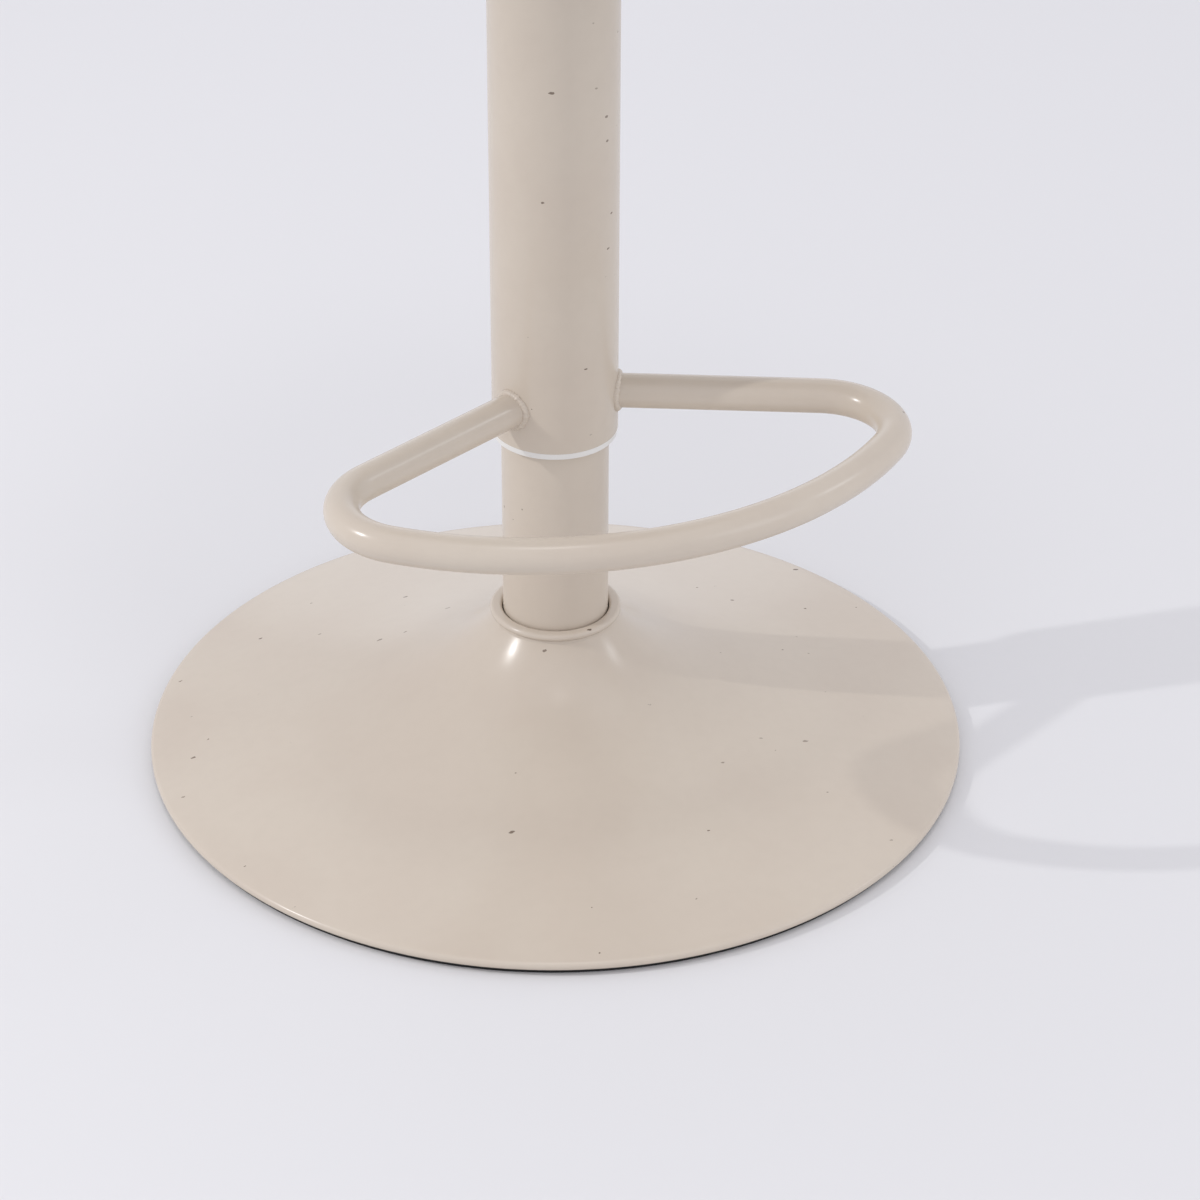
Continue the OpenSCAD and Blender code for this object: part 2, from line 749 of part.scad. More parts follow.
module foot_ring_welds() {
    bead_r1 = foot_tube_r + foot_weld_w;
    // How far the sleeve's surface falls away at the bead's edge
    fall = sleeve_r - sqrt(pow(sleeve_r, 2) - pow(bead_r1, 2));
    bead_len = fall + foot_weld_w;
    color(coat) translate([0, 0, foot_z]) difference() {
        on_both_legs() rotate([0, 0, leg_heading]) translate([sleeve_r - fall, 0, 0])
            rotate([0, 90, 0]) difference() {
                cylinder(r1 = bead_r1 + fall / 2, r2 = foot_tube_r + 2 * fixed_fit, h = bead_len);
                translate([0, 0, -cut])
                    cylinder(r = foot_tube_r + fixed_fit, h = bead_len + 2 * cut);
            }
        cylinder(r = sleeve_r + fixed_fit, h = 4 * foot_tube_d, center = true);
    }
}

module taper_hub() {
    color(steel) translate([0, 0, hub_z]) difference() {
        cylinder(r = hub_d / 2, h = hub_len);
        translate([0, 0, taper_z - hub_z])
            cylinder(r1 = tube_r + fixed_fit, r2 = tube_r + fixed_fit - taper_r,
                h = tube_top_z - taper_z);
    }
}

module seat_plate() {
    color(black) translate([0, 0, plate_z]) difference() {
        union() {
            rounded_slab(pan_w, pan_corner_r, pan_depth);
            translate([0, 0, pan_depth - plate_t]) rounded_slab(plate_w, plate_corner_r, plate_t);
        }
        translate([0, 0, plate_t])
            rounded_slab(pan_w - 2 * plate_t, pan_corner_r - plate_t, pan_depth);
        translate([0, 0, -cut]) cylinder(r = hub_d / 2 + fixed_fit, h = plate_t + 2 * cut);
        translate([pan_w / 2 - plate_t - cut, -lever_slot_w / 2, plate_t])
            cube([plate_t + 2 * cut, lever_slot_w, pan_depth - 2 * plate_t]);
        on_bolt_square() cylinder(r = seat_bolt_d / 2 + screw_fit, h = pan_depth + cut);
    }
}

module plate_welds() {
    color(steel) translate([0, 0, plate_z]) mirror([0, 0, 1]) {
        fillet_bead(hub_d / 2 + fixed_fit, plate_weld_w);
        fillet_bead(sleeve_r + fixed_fit, plate_weld_w);
    }
}

module lever_bracket() {
    color(black) for (side = [0, 1]) mirror([0, side, 0])
        translate([pivot_x - ear_w / 2, rocker_w / 2 + move_gap, pan_floor_z]) difference() {
            cube([ear_w, ear_t, ear_h]);
            translate([ear_w / 2, -cut, pivot_rise]) rotate([-90, 0, 0])
                cylinder(r = pivot_d / 2 + fixed_fit, h = ear_t + 2 * cut);
        }
}

module lever_pivot() {
    half = rocker_w / 2 + move_gap + ear_t;
    color(steel) translate([pivot_x, 0, pivot_z]) rotate([-90, 0, 0]) {
        translate([0, 0, -half]) cylinder(r = pivot_d / 2, h = 2 * half);
        for (side = [0, 1]) mirror([0, 0, side])
            translate([0, 0, half]) cylinder(r = pivot_head_d / 2, h = pivot_head_t);
    }
}

module seat_bolts() {
    head_z = rim_under_z - washer_t - seat_bolt_head_h;
    color(steel) on_bolt_square() translate([0, 0, head_z]) {
        hex_prism(seat_bolt_af, seat_bolt_head_h);
        cylinder(r = seat_bolt_d / 2, h = board_top_z - tee_flange_t - head_z);
    }
}

module bolt_washers() {
    color(steel) on_bolt_square() translate([0, 0, rim_under_z - washer_t])
        ring(seat_bolt_d / 2 + screw_fit, washer_d / 2, washer_t);
}

module tee_nuts() {
    color(steel) on_bolt_square() translate([0, 0, board_top_z - tee_flange_t]) {
        ring(seat_bolt_d / 2 + fixed_fit, tee_flange_d / 2, tee_flange_t);
        translate([0, 0, -tee_barrel_len])
            ring(seat_bolt_d / 2 + fixed_fit, tee_barrel_d / 2, tee_barrel_len);
    }
}

module seat_board() {
    color(plywood) difference() {
        translate([0, 0, board_z]) cylinder(r = board_r, h = board_t);
        on_bolt_square() {
            translate([0, 0, board_z - cut])
                cylinder(r = tee_barrel_d / 2 + fixed_fit, h = board_t + 2 * cut);
            translate([0, 0, board_top_z - tee_flange_t])
                cylinder(r = tee_flange_d / 2 + fixed_fit, h = tee_flange_t + cut);
        }
    }
}

// The cushion's outer line, moved inwards by a depth: the crown from the middle out,
// then the side from the upper seam down, which swells below the welt
function crown_line(depth) = [for (i = [0:crown_steps]) let (s = i / crown_steps)
    [(band_r - depth) * s, seam_z + crown_h * (1 - pow(s, crown_power)) - depth]];
function side_line(depth) = [for (i = [0:side_steps]) let (s = i / side_steps)
    [band_r - depth + side_swell * sin(180 * s), seam_z - welt_d - (side_h - welt_d) * s]];
function reversed(list) = [for (i = [len(list) - 1:-1:0]) list[i]];

module seat_foam() {
    depth = cover_t + fixed_fit;
    color(foam) rotate_extrude()
        polygon(concat(crown_line(depth), side_line(depth), [[0, board_top_z]]));
}

module seat_top_panel() {
    color(leatherette) rotate_extrude() polygon(concat(
        crown_line(0), [[band_r, seam_z - cover_t]], reversed(crown_line(cover_t))
    ));
}

module seat_band() {
    edge_z = seam_z - cover_t - fixed_fit;
    color(leatherette) rotate_extrude() polygon(concat(
        [[band_r, edge_z]], side_line(0),
        [[band_r, tuck_z], [tuck_in_r, tuck_z], [tuck_in_r, board_z],
            [band_r - cover_t, board_z]],
        reversed(side_line(cover_t)), [[band_r - cover_t, edge_z]]
    ));
}

module welt(z) {
    color(leatherette) translate([0, 0, z]) difference() {
        rotate_extrude() translate([welt_c_r, 0]) circle(r = welt_r);
        translate([0, 0, -welt_d]) cylinder(r = band_r + fixed_fit, h = 2 * welt_d);
    }
}

module welt_top() {
    welt(seam_z - welt_r);
}

module welt_bottom() {
    welt(board_z + welt_r);
}

module dust_cloth() {
    color(black) translate([0, 0, board_z - dust_cloth_t]) difference() {
        cylinder(r = tuck_in_r - fixed_fit, h = dust_cloth_t);
        translate([0, 0, -cut])
            rounded_slab(dust_hole_w, plate_corner_r + dust_margin, dust_cloth_t + 2 * cut);
    }
}

module dust_cloth_staples() {
    staple_r = tuck_in_r - staple_inset;
    color(steel) for (i = [0:staple_count - 1]) rotate([0, 0, 360 * (i + 0.5) / staple_count])
        translate([staple_r - staple_t, -staple_len / 2, board_z - dust_cloth_t - staple_t])
            cube([staple_t, staple_len, staple_t]);
}

// The rocker from the side: its boss, its arm to the nose and its tail for the rod
module rocker_outline() {
    arm = [-pivot_x, nose_z - pivot_z];
    translate([pivot_x, pivot_z]) {
        circle(r = boss_r);
        rotate([0, 0, atan2(arm.y, arm.x)]) translate([0, -rocker_arm_h / 2])
            square([norm(arm), rocker_arm_h]);
    }
    translate([0, nose_z]) circle(r = nose_r);
    translate([pivot_x, lever_z - lever_r]) square([rocker_reach, lever_d]);
}

module lever_rocker() {
    color(steel) rotate([90, 0, 0]) difference() {
        linear_extrude(rocker_w, center = true) rocker_outline();
        translate([pivot_x, pivot_z, -rocker_w])
            cylinder(r = pivot_d / 2 + run_fit, h = 2 * rocker_w);
    }
}

module lever_rod() {
    color(black) rotate([90, 0, 0]) translate([rocker_end_x, lever_z, 0]) bent_bar(lever_r, [
        [lever_bend_x - rocker_end_x, lever_bend_r, -lever_bend_a],
        [slope_len, lever_bend_r, lever_bend_a],
        [grip_start_x + grip_seat_len - grip_bend_x, 0, 0]
    ]);
}

module lever_grip() {
    end_r = grip_d / 2;
    color(black) translate([grip_start_x, 0, grip_z]) rotate([0, 90, 0]) difference() {
        rotate_extrude() polygon(concat(
            [[0, 0], [grip_neck_d / 2 - grip_chamfer, 0], [grip_neck_d / 2, grip_chamfer]],
            [for (i = [0:arc_steps]) let (a = 90 * i / arc_steps)
                [end_r * cos(a), grip_len - end_r + end_r * sin(a)]]
        ));
        translate([0, 0, -cut])
            cylinder(r = lever_r + fixed_fit, h = grip_seat_len + cut + fixed_fit);
    }
}

module release_pin() {
    color(steel) translate([0, 0, release_top_z - release_len])
        cylinder(r = release_d / 2, h = release_len);
}

base_cover();
floor_ring();
closing_sheet();
ballast_disc();
neck_bead();
column_seal();
fixed_column();
column_flange();
column_weld();
flange_screws();
weld_nuts();
foot_plug();
lower_race();
guide_bush();
glide_ring();
piston_rod();
piston();
piston_seal();
piston_nut();
bearing_cage();
bearing_balls();
upper_race();
rod_buffer();
rod_clip();
gas_tube();
rod_guide();
valve_body();
sleeve();
sleeve_bush();
foot_ring();
foot_ring_welds();
taper_hub();
seat_plate();
plate_welds();
lever_bracket();
lever_pivot();
seat_bolts();
bolt_washers();
tee_nuts();
seat_board();
seat_foam();
seat_top_panel();
seat_band();
welt_top();
welt_bottom();
dust_cloth();
dust_cloth_staples();
lever_rocker();
lever_rod();
lever_grip();
release_pin();
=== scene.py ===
import math
import random

import bpy
from mathutils import Matrix, Quaternion, Vector


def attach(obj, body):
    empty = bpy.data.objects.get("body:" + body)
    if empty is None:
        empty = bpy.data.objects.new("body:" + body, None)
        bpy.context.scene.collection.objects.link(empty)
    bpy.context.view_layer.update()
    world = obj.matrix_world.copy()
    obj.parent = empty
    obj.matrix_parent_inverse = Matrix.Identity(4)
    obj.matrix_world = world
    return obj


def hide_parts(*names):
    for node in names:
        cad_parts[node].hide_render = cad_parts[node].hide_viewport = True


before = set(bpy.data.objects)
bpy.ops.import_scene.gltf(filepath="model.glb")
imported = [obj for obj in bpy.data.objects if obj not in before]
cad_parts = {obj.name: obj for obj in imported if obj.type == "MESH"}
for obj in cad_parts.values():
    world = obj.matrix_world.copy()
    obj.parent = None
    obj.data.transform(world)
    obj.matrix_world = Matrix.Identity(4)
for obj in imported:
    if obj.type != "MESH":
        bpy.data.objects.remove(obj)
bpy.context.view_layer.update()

MM = 0.001
UP = Vector((0, 0, 1))

# Sizes of the stool in millimetres, from the floor up
COVER_LOW_Z = 2.5
RIM_ROLL_R, RIM_BEND_R = 2.2, 0.7
RIM_C = (197.8, 4.7)
LIP_R = 187.8
SHEET = 1.5
CONE_SLOPE = 0.2
CONE_START = (198.2, 6.86)
NECK_R, NECK_Z = 30.5, 71.8
FLARE_H, FLARE_LEN = 29.9, 27.5
BEAD_IN_R, BEAD_OUT_R, BEAD_Z, BEAD_R = 25.9, 31.9, 73.7, 1.8
COLUMN_R, COLUMN_LOW_Z, COLUMN_TOP_Z = 25.5, 11.5, 430.0
SLEEVE_R, SLEEVE_IN_R, SLEEVE_Z, SLEEVE_TOP_Z = 29.75, 28.25, 173.0, 505.0
HOOP_Z, HOOP_TUBE_R = 192.5, 8.15
HOOP_HEADING = math.radians(-25.3)
HOOP_LEG_START, HOOP_LEG_END = 28.4, 124.0
HOOP_SIDE_R, HOOP_SIDE_TURN = 34.0, math.radians(113.8)
HOOP_FRONT_R, HOOP_FRONT_TURN = 183.0, math.radians(81.8)
PLATE_Z, PLATE_RIM_Z, PLATE_T = 505.0, 524.5, 2.5
HUB_R = 20.1
BOLT_X, BOLT_HOLE_R = 86.0, 3.3
WASHER_Z = 522.9
BOARD_Z, BOARD_TOP_Z, BOARD_R = 527.0, 539.0, 184.75
CUSHION_R, CUSHION_LOW_Z = 185.9, 530.0
SEAM_Z, CROWN_H = 596.0, 19.0
WELT_C_R, WELT_R = 187.0, 3.0
BAND_LOW_Z = 536
TUCK_R, TUCK_Z = 158.7, 525.8
LEVER_Z, LEVER_R, LEVER_START_X, LEVER_BEND_X = 512.2, 4.0, 28.0, 82.0
LEVER_BEND_R, LEVER_TURN, LEVER_SLOPE, LEVER_LOW_X = 15.0, math.radians(35.0), 20.18, 115.7
GRIP_X, GRIP_Z, GRIP_LEN, GRIP_SEAT = 129.0, 495.2, 68.0, 48.1


# Modelling

def alone(piece):
    """Makes a piece the only one that the next step works on"""
    bpy.ops.object.select_all(action="DESELECT")
    piece.select_set(True)
    bpy.context.view_layer.objects.active = piece
    return piece


def start(form, name, **place):
    """A primitive to be shaped, with its place in its mesh"""
    bpy.ops.object.select_all(action="DESELECT")
    getattr(bpy.ops.mesh, "primitive_" + form + "_add")(**place)
    piece = bpy.context.object
    piece.name = piece.data.name = name
    bpy.ops.object.transform_apply(location=True, rotation=True, scale=True)
    return piece


def open_mesh(piece):
    """Goes into a piece's mesh with all of it selected"""
    alone(piece)
    bpy.ops.object.mode_set(mode="EDIT")
    bpy.ops.mesh.select_mode(type="VERT")
    bpy.ops.mesh.select_all(action="SELECT")


def close_mesh(piece, angle=30):
    """Joins what meets, turns the faces outwards and shades the piece"""
    bpy.ops.mesh.select_all(action="SELECT")
    bpy.ops.mesh.remove_doubles(threshold=1e-6)
    bpy.ops.mesh.normals_make_consistent(inside=False)
    bpy.ops.object.mode_set(mode="OBJECT")
    bpy.ops.object.shade_smooth_by_angle(angle=math.radians(angle))
    return piece


def arc(centre, radius, first, last, steps):
    """Points of an outline on an arc, with its angles in degrees"""
    angles = [math.radians(first + (last - first) * i / steps) for i in range(steps + 1)]
    return [(centre[0] + radius * math.cos(angle), centre[1] + radius * math.sin(angle))
            for angle in angles]


def turned(name, outline, steps=192, angle=30):
    """A piece turned about the column's axis from an outline of radii and heights"""
    piece = start("plane", name, size=MM)
    open_mesh(piece)
    bpy.ops.mesh.merge(type="CENTER")
    here = (0.0, 0.0)
    for place, (radius, height) in enumerate(outline):
        move = ((radius - here[0]) * MM, 0, (height - here[1]) * MM)
        if place == 0:
            bpy.ops.transform.translate(value=move)
        else:
            bpy.ops.mesh.extrude_region_move(TRANSFORM_OT_translate={"value": move})
        here = (radius, height)
    bpy.ops.mesh.select_all(action="SELECT")
    bpy.ops.mesh.spin(steps=steps, angle=2 * math.pi, center=(0, 0, 0), axis=(0, 0, 1))
    return close_mesh(piece, angle)


def closed(outline):
    """The outline with its first point once more at its end"""
    return outline + outline[:1]


def bar(name, radius, origin, forward, runs, normal=UP, sides=40):
    """A bent bar or tube: each run is a straight length, then a bend's radius and its angle,
    which is to the right about the normal where it is positive"""
    turn_to = forward.to_track_quat("Z", "Y").to_euler()
    piece = start("circle", name, vertices=sides, radius=radius * MM, location=origin * MM,
                  rotation=turn_to)
    open_mesh(piece)
    here, ahead = origin.copy(), forward.copy()
    for length, bend_r, angle in runs:
        if length:
            bpy.ops.mesh.extrude_region_move(TRANSFORM_OT_translate={"value": ahead * length * MM})
            here = here + ahead * length
        if angle:
            side = ahead.cross(normal) * math.copysign(1, angle)
            centre = here + side * bend_r
            steps = max(6, round(bend_r * abs(angle) / 3.5))
            bpy.ops.mesh.spin(steps=steps, angle=angle, center=centre * MM, axis=normal)
            turn = Quaternion(normal, -angle)
            here = centre + turn @ (here - centre)
            ahead = turn @ ahead
    bpy.ops.mesh.select_all(action="SELECT")
    bpy.ops.mesh.fill_holes(sides=0)
    return close_mesh(piece, 40)


def applied(piece, kind, **settings):
    """Adds a modifier and applies it"""
    alone(piece)
    modifier = piece.modifiers.new("shape", kind)
    for key, value in settings.items():
        setattr(modifier, key, value)
    bpy.ops.object.modifier_apply(modifier=modifier.name)
    return piece


def cut(piece, *cutters, how="DIFFERENCE"):
    """Cuts a piece by others, which are then gone"""
    for cutter in cutters:
        applied(piece, "BOOLEAN", object=cutter, operation=how, solver="EXACT")
        bpy.data.objects.remove(cutter)
    open_mesh(piece)
    return close_mesh(piece)


def copies(piece, places):
    """The piece, and a copy of it with its own mesh for each further place"""
    made = [piece]
    for number, place in enumerate(places[1:], start=2):
        other = piece.copy()
        other.data = piece.data.copy()
        other.name = other.data.name = piece.name + "_%02d" % number
        bpy.context.scene.collection.objects.link(other)
        made.append(other)
    for other, place in zip(made, places):
        other.data.transform(place)
    return made


def joined(pieces, name):
    """Some pieces as one piece"""
    alone(pieces[0])
    for other in pieces:
        other.select_set(True)
    bpy.ops.object.join()
    piece = bpy.context.object
    piece.name = piece.data.name = name
    return piece


def shift(x, y, z=0):
    """A move in millimetres"""
    return Matrix.Translation(Vector((x, y, z)) * MM)


def turn(angle, axis="Z"):
    """A turn about one of the frame's axes"""
    return Matrix.Rotation(angle, 4, axis)


# Finishes

class Shade:
    """A shader socket that can be written in sums"""

    def __init__(self, finish, socket):
        self.finish, self.socket = finish, socket

    def __add__(self, other):
        return self.finish.maths("ADD", self, other)

    def __sub__(self, other):
        return self.finish.maths("SUBTRACT", self, other)

    def __rsub__(self, other):
        return self.finish.maths("SUBTRACT", other, self)

    def __mul__(self, other):
        return self.finish.maths("MULTIPLY", self, other)


def tone(red, green, blue):
    """A colour given in the photograph's 0 to 255, as the shader takes it"""
    def linear(value):
        value /= 255
        return value / 12.92 if value <= 0.04045 else ((value + 0.055) / 1.055) ** 2.4
    return (linear(red), linear(green), linear(blue), 1)


class Finish:
    """A surface material made of nodes, with its patterns in the object's own metres"""

    def __init__(self, name, **sockets):
        self.material = bpy.data.materials.new(name)
        self.material.use_nodes = True
        self.tree = self.material.node_tree
        self.shader = self.tree.nodes["Principled BSDF"]
        for key, value in sockets.items():
            self.set(key.replace("_", " "), value)
        self.place = self.node("ShaderNodeTexCoord", "Object")
        axes = self.tree.nodes.new("ShaderNodeSeparateXYZ")
        self.tree.links.new(self.place.socket, axes.inputs[0])
        self.x, self.y, self.z = (Shade(self, axes.outputs[i]) for i in range(3))

    def set(self, name, value):
        socket = self.shader.inputs[name]
        if isinstance(value, Shade):
            self.tree.links.new(value.socket, socket)
        else:
            socket.default_value = value

    def node(self, kind, out, settings=(), sockets=()):
        made = self.tree.nodes.new(kind)
        for key, value in dict(settings).items():
            setattr(made, key, value)
        for key, value in dict(sockets).items():
            socket = next(s for s in made.inputs if key in (s.identifier, s.name))
            if isinstance(value, Shade):
                self.tree.links.new(value.socket, socket)
            else:
                socket.default_value = value
        return Shade(self, next(s for s in made.outputs if out in (s.identifier, s.name)))

    def maths(self, operation, first, second=0.0):
        return self.node("ShaderNodeMath", "Value", {"operation": operation},
                         {"Value": first, "Value_001": second})

    def stretched(self, x, y, z, turned_by=0.0):
        """The object's place, scaled along each axis after a turn about the column"""
        return self.node("ShaderNodeMapping", "Vector", {},
                         {"Vector": self.place, "Scale": (x, y, z), "Rotation": (0, 0, turned_by)})

    def noise(self, per_metre, detail=2.0, roughness=0.5, place=None, distortion=0.0):
        return self.node("ShaderNodeTexNoise", "Fac", {},
                         {"Vector": place or self.place, "Scale": per_metre, "Detail": detail,
                          "Roughness": roughness, "Distortion": distortion})

    def cells(self, per_metre, out="Distance", feature="F1", place=None):
        return self.node("ShaderNodeTexVoronoi", out, {"feature": feature},
                         {"Vector": place or self.place, "Scale": per_metre})

    def wandering(self, place, per_metre, reach):
        """A place that a noise pulls about by up to the reach"""
        pull = self.node("ShaderNodeTexNoise", "Color", {},
                         {"Vector": self.place, "Scale": per_metre})
        return self.node("ShaderNodeVectorMath", "Vector", {"operation": "MULTIPLY_ADD"},
                         {"Vector": pull, "Vector_001": (reach, reach, reach),
                          "Vector_002": place})

    def channel(self, name, colour):
        """One channel of a colour, as a value"""
        return self.node("ShaderNodeSeparateColor", name, {}, {"Color": colour})

    def step(self, value, low, high, least=0.0, most=1.0):
        """A soft step from least to most as the value goes from low to high"""
        return self.node("ShaderNodeMapRange", "Result", {"interpolation_type": "SMOOTHSTEP"},
                         {"Value": value, "From Min": low, "From Max": high, "To Min": least,
                          "To Max": most})

    def mix(self, share, first, second):
        return self.node("ShaderNodeMix", "Result_Color", {"data_type": "RGBA"},
                         {"Factor_Float": share, "A_Color": first, "B_Color": second})

    def raised(self, height, depth, strength):
        """A surface raised by a height of 0 to 1, times a depth in metres"""
        return self.node("ShaderNodeBump", "Normal", {},
                         {"Height": height, "Distance": depth, "Strength": strength})


def powder_coat():
    coat = Finish("beige_powder_coat", IOR=1.5)
    patches = coat.noise(14, 3)
    mottle = coat.noise(160, 1)
    flow = coat.noise(300, 1)
    # Grains of dust that settled in the lacquer, far apart, uneven and mostly longer than wide
    per_metre, largest = 90, 0.086
    uneven = coat.wandering(coat.stretched(0.5, 1, 1.2, 0.6), 900, 0.001)
    chance = coat.cells(per_metre, "Color", place=uneven)
    from_grain = coat.cells(per_metre, place=uneven) - coat.channel("Red", chance) * largest
    grain = (coat.step(from_grain, -0.016, -0.004, 1, 0)
             * (coat.channel("Green", chance) * 0.6 + 0.35))
    colour = coat.mix(coat.step(patches, 0.3, 0.7), tone(205, 193, 178), tone(208, 197, 182))
    colour = coat.mix(coat.step(mottle, 0.35, 0.75) * 0.1, colour, tone(197, 185, 170))
    colour = coat.mix(grain, colour, tone(96, 78, 62))
    coat.set("Base Color", colour)
    coat.set("Roughness", coat.step(patches, 0.2, 0.8, 0.21, 0.25) + mottle * 0.02)
    coat.set("Normal", coat.raised(flow + grain, 0.00003, 0.4))
    return coat.material


def nylon():
    white = Finish("white_nylon", IOR=1.53)
    white.set("Base Color", white.mix(white.noise(60, 3), tone(226, 225, 221), tone(238, 237, 234)))
    white.set("Roughness", white.noise(500, 2) * 0.15 + 0.36)
    white.set("Normal", white.raised(white.noise(800, 2), 0.00004, 0.5))
    return white.material


def rubber():
    black = Finish("black_rubber", IOR=1.5)
    dust = black.step(black.noise(300, 4, 0.7), 0.5, 0.75)
    black.set("Base Color", black.mix(dust * 0.5, tone(13, 13, 14), tone(40, 39, 38)))
    black.set("Roughness", dust * 0.15 + 0.62)
    black.set("Normal", black.raised(black.noise(1200, 3), 0.00008, 0.6))
    return black.material


def black_paint():
    paint = Finish("black_paint", IOR=1.5)
    flow = paint.noise(700, 2)
    wear = paint.step(paint.noise(110, 4, 0.65), 0.66, 0.72)
    paint.set("Base Color", paint.mix(wear * 0.35, tone(27, 27, 29), tone(74, 72, 70)))
    paint.set("Roughness", paint.step(paint.noise(30, 3), 0.3, 0.7, 0.34, 0.44) + wear * 0.15)
    paint.set("Normal", paint.raised(flow, 0.00005, 0.6))
    return paint.material


def bare_steel():
    steel = Finish("bare_steel", Metallic=1.0)
    drawn = steel.noise(1, 3, place=steel.stretched(900, 900, 40))
    tint = steel.step(steel.noise(45, 4, 0.6), 0.45, 0.8)
    steel.set("Base Color", steel.mix(tint * 0.5, tone(178, 178, 180), tone(134, 126, 118)))
    steel.set("Roughness", drawn * 0.2 + 0.26 + tint * 0.1)
    steel.set("Normal", steel.raised(drawn, 0.00003, 0.5))
    return steel.material


def zinc_steel():
    zinc = Finish("zinc_steel", Metallic=1.0)
    spangle = zinc.channel("Red", zinc.cells(650, "Color"))
    zinc.set("Base Color", zinc.mix(spangle, tone(190, 195, 201), tone(206, 204, 192)))
    zinc.set("Roughness", spangle * 0.12 + 0.26)
    zinc.set("Normal", zinc.raised(zinc.noise(1500, 2), 0.00003, 0.5))
    return zinc.material


def chromed_rod():
    chrome = Finish("chromed_rod", Metallic=1.0)
    rings = chrome.noise(1, 2, place=chrome.stretched(20, 20, 2500))
    chrome.set("Base Color", chrome.mix(chrome.noise(40, 2), tone(206, 208, 212),
                                        tone(214, 215, 216)))
    chrome.set("Roughness", rings * 0.08 + 0.07)
    chrome.set("Normal", chrome.raised(rings, 0.00001, 0.4))
    return chrome.material


def brass():
    metal = Finish("turned_brass", Metallic=1.0)
    rings = metal.noise(1, 2, place=metal.stretched(30, 30, 2200))
    tarnish = metal.step(metal.noise(70, 4, 0.6), 0.5, 0.8)
    metal.set("Base Color", metal.mix(tarnish * 0.6, tone(208, 172, 98), tone(158, 122, 66)))
    metal.set("Roughness", rings * 0.15 + 0.2 + tarnish * 0.1)
    metal.set("Normal", metal.raised(rings, 0.00002, 0.5))
    return metal.material


def black_plastic():
    moulded = Finish("black_plastic", IOR=1.49)
    spark = moulded.noise(2200, 2, 0.6)
    moulded.set("Base Color", moulded.mix(moulded.noise(50, 2), tone(24, 24, 25),
                                          tone(32, 32, 33)))
    moulded.set("Roughness", moulded.step(spark, 0.3, 0.7, 0.42, 0.56))
    moulded.set("Normal", moulded.raised(spark, 0.00009, 0.7))
    return moulded.material


def plywood():
    birch = Finish("birch_plywood", IOR=1.45)
    grain = birch.noise(1, 4, 0.6, place=birch.stretched(14, 420, 420), distortion=0.6)
    ply_thickness = 1.35 * MM
    ply = birch.maths("PINGPONG", birch.z * (1 / ply_thickness), 1.0)
    end_grain = birch.step(ply, 0.45, 0.55)
    colour = birch.mix(grain, tone(196, 160, 112), tone(222, 193, 148))
    birch.set("Base Color", birch.mix(end_grain * 0.35, colour, tone(150, 112, 72)))
    birch.set("Roughness", grain * 0.15 + 0.55)
    birch.set("Normal", birch.raised(grain, 0.0001, 0.6))
    return birch.material


def foam():
    cells = Finish("seat_foam", IOR=1.4, Roughness=0.9)
    pore_pits_and_shade = cells.cells(900)
    # Darker in each pore's pit: painted shade
    cells.set("Base Color", cells.mix(pore_pits_and_shade, tone(204, 190, 148), tone(238, 226, 190)))
    cells.set("Normal", cells.raised(pore_pits_and_shade, 0.0004, 0.8))
    return cells.material


def leatherette(name="beige_leatherette", seam_at_back=False):
    hide = Finish(name, IOR=1.48)
    wander = hide.wandering(hide.place, 350, 0.0012)
    pebble = hide.step(hide.cells(640, feature="DISTANCE_TO_EDGE", place=wander), 0.0, 0.22)
    fine = hide.noise(2600, 2)
    sag = hide.noise(16, 3)
    crease_and_painted_shade = 1 - pebble
    colour = hide.mix(hide.step(sag, 0.3, 0.7), tone(200, 187, 172), tone(208, 197, 183))
    # The creases between the pebbles are painted darker: painted shade in the creases
    colour = hide.mix(crease_and_painted_shade * 0.45, colour, tone(170, 156, 141))
    height = pebble * 0.8 + fine * 0.2
    roughness = crease_and_painted_shade * 0.12 + fine * 0.06 + 0.40
    if seam_at_back:
        # The band's two ends are sewn together at the back, with a row of stitches on each side
        from_seam, stitch_length = 3.0, 1.6
        across = hide.maths("ABSOLUTE", hide.x * (1 / MM))
        at_back = hide.step(hide.y, 0.0, 0.01) * hide.step(hide.z, 0.592, 0.590)
        groove = hide.step(across, 0.35, 0.9, 1, 0) * at_back
        row = hide.step(hide.maths("ABSOLUTE", across - from_seam), 0.25, 0.4, 1, 0) * at_back
        along = hide.maths("PINGPONG", hide.z * (1 / MM), stitch_length)
        stitch = row * hide.step(along, 0.35, 0.55)
        colour = hide.mix(groove, colour, tone(112, 100, 88))
        colour = hide.mix(stitch, colour, tone(220, 211, 198))
        height = height - groove * 4.0 + stitch * 2.5
    hide.set("Base Color", colour)
    hide.set("Roughness", roughness)
    hide.set("Normal", hide.raised(height, 0.00014, 0.8))
    return hide.material


def bonded_wave(cloth, along):
    """The wave of the cloth's bonded points"""
    pitch = 1.4 * MM
    return cloth.maths("SINE", along * (2 * math.pi / pitch))


def dust_cloth_weave():
    cloth = Finish("dust_cloth", IOR=1.4)
    dots = bonded_wave(cloth, cloth.x + cloth.y) * bonded_wave(cloth, cloth.x - cloth.y)
    fibres = cloth.noise(1, 3, 0.7, place=cloth.stretched(1400, 260, 900, 0.5), distortion=1.5)
    bonded = cloth.step(dots, 0.1, 0.4)
    cloth.set("Base Color", cloth.mix(fibres, tone(17, 17, 18), tone(46, 46, 47)))
    cloth.set("Roughness", 0.92 - bonded * 0.25)
    cloth.set("Normal", cloth.raised(fibres * 0.6 + bonded * -0.8, 0.00025, 0.8))
    return cloth.material


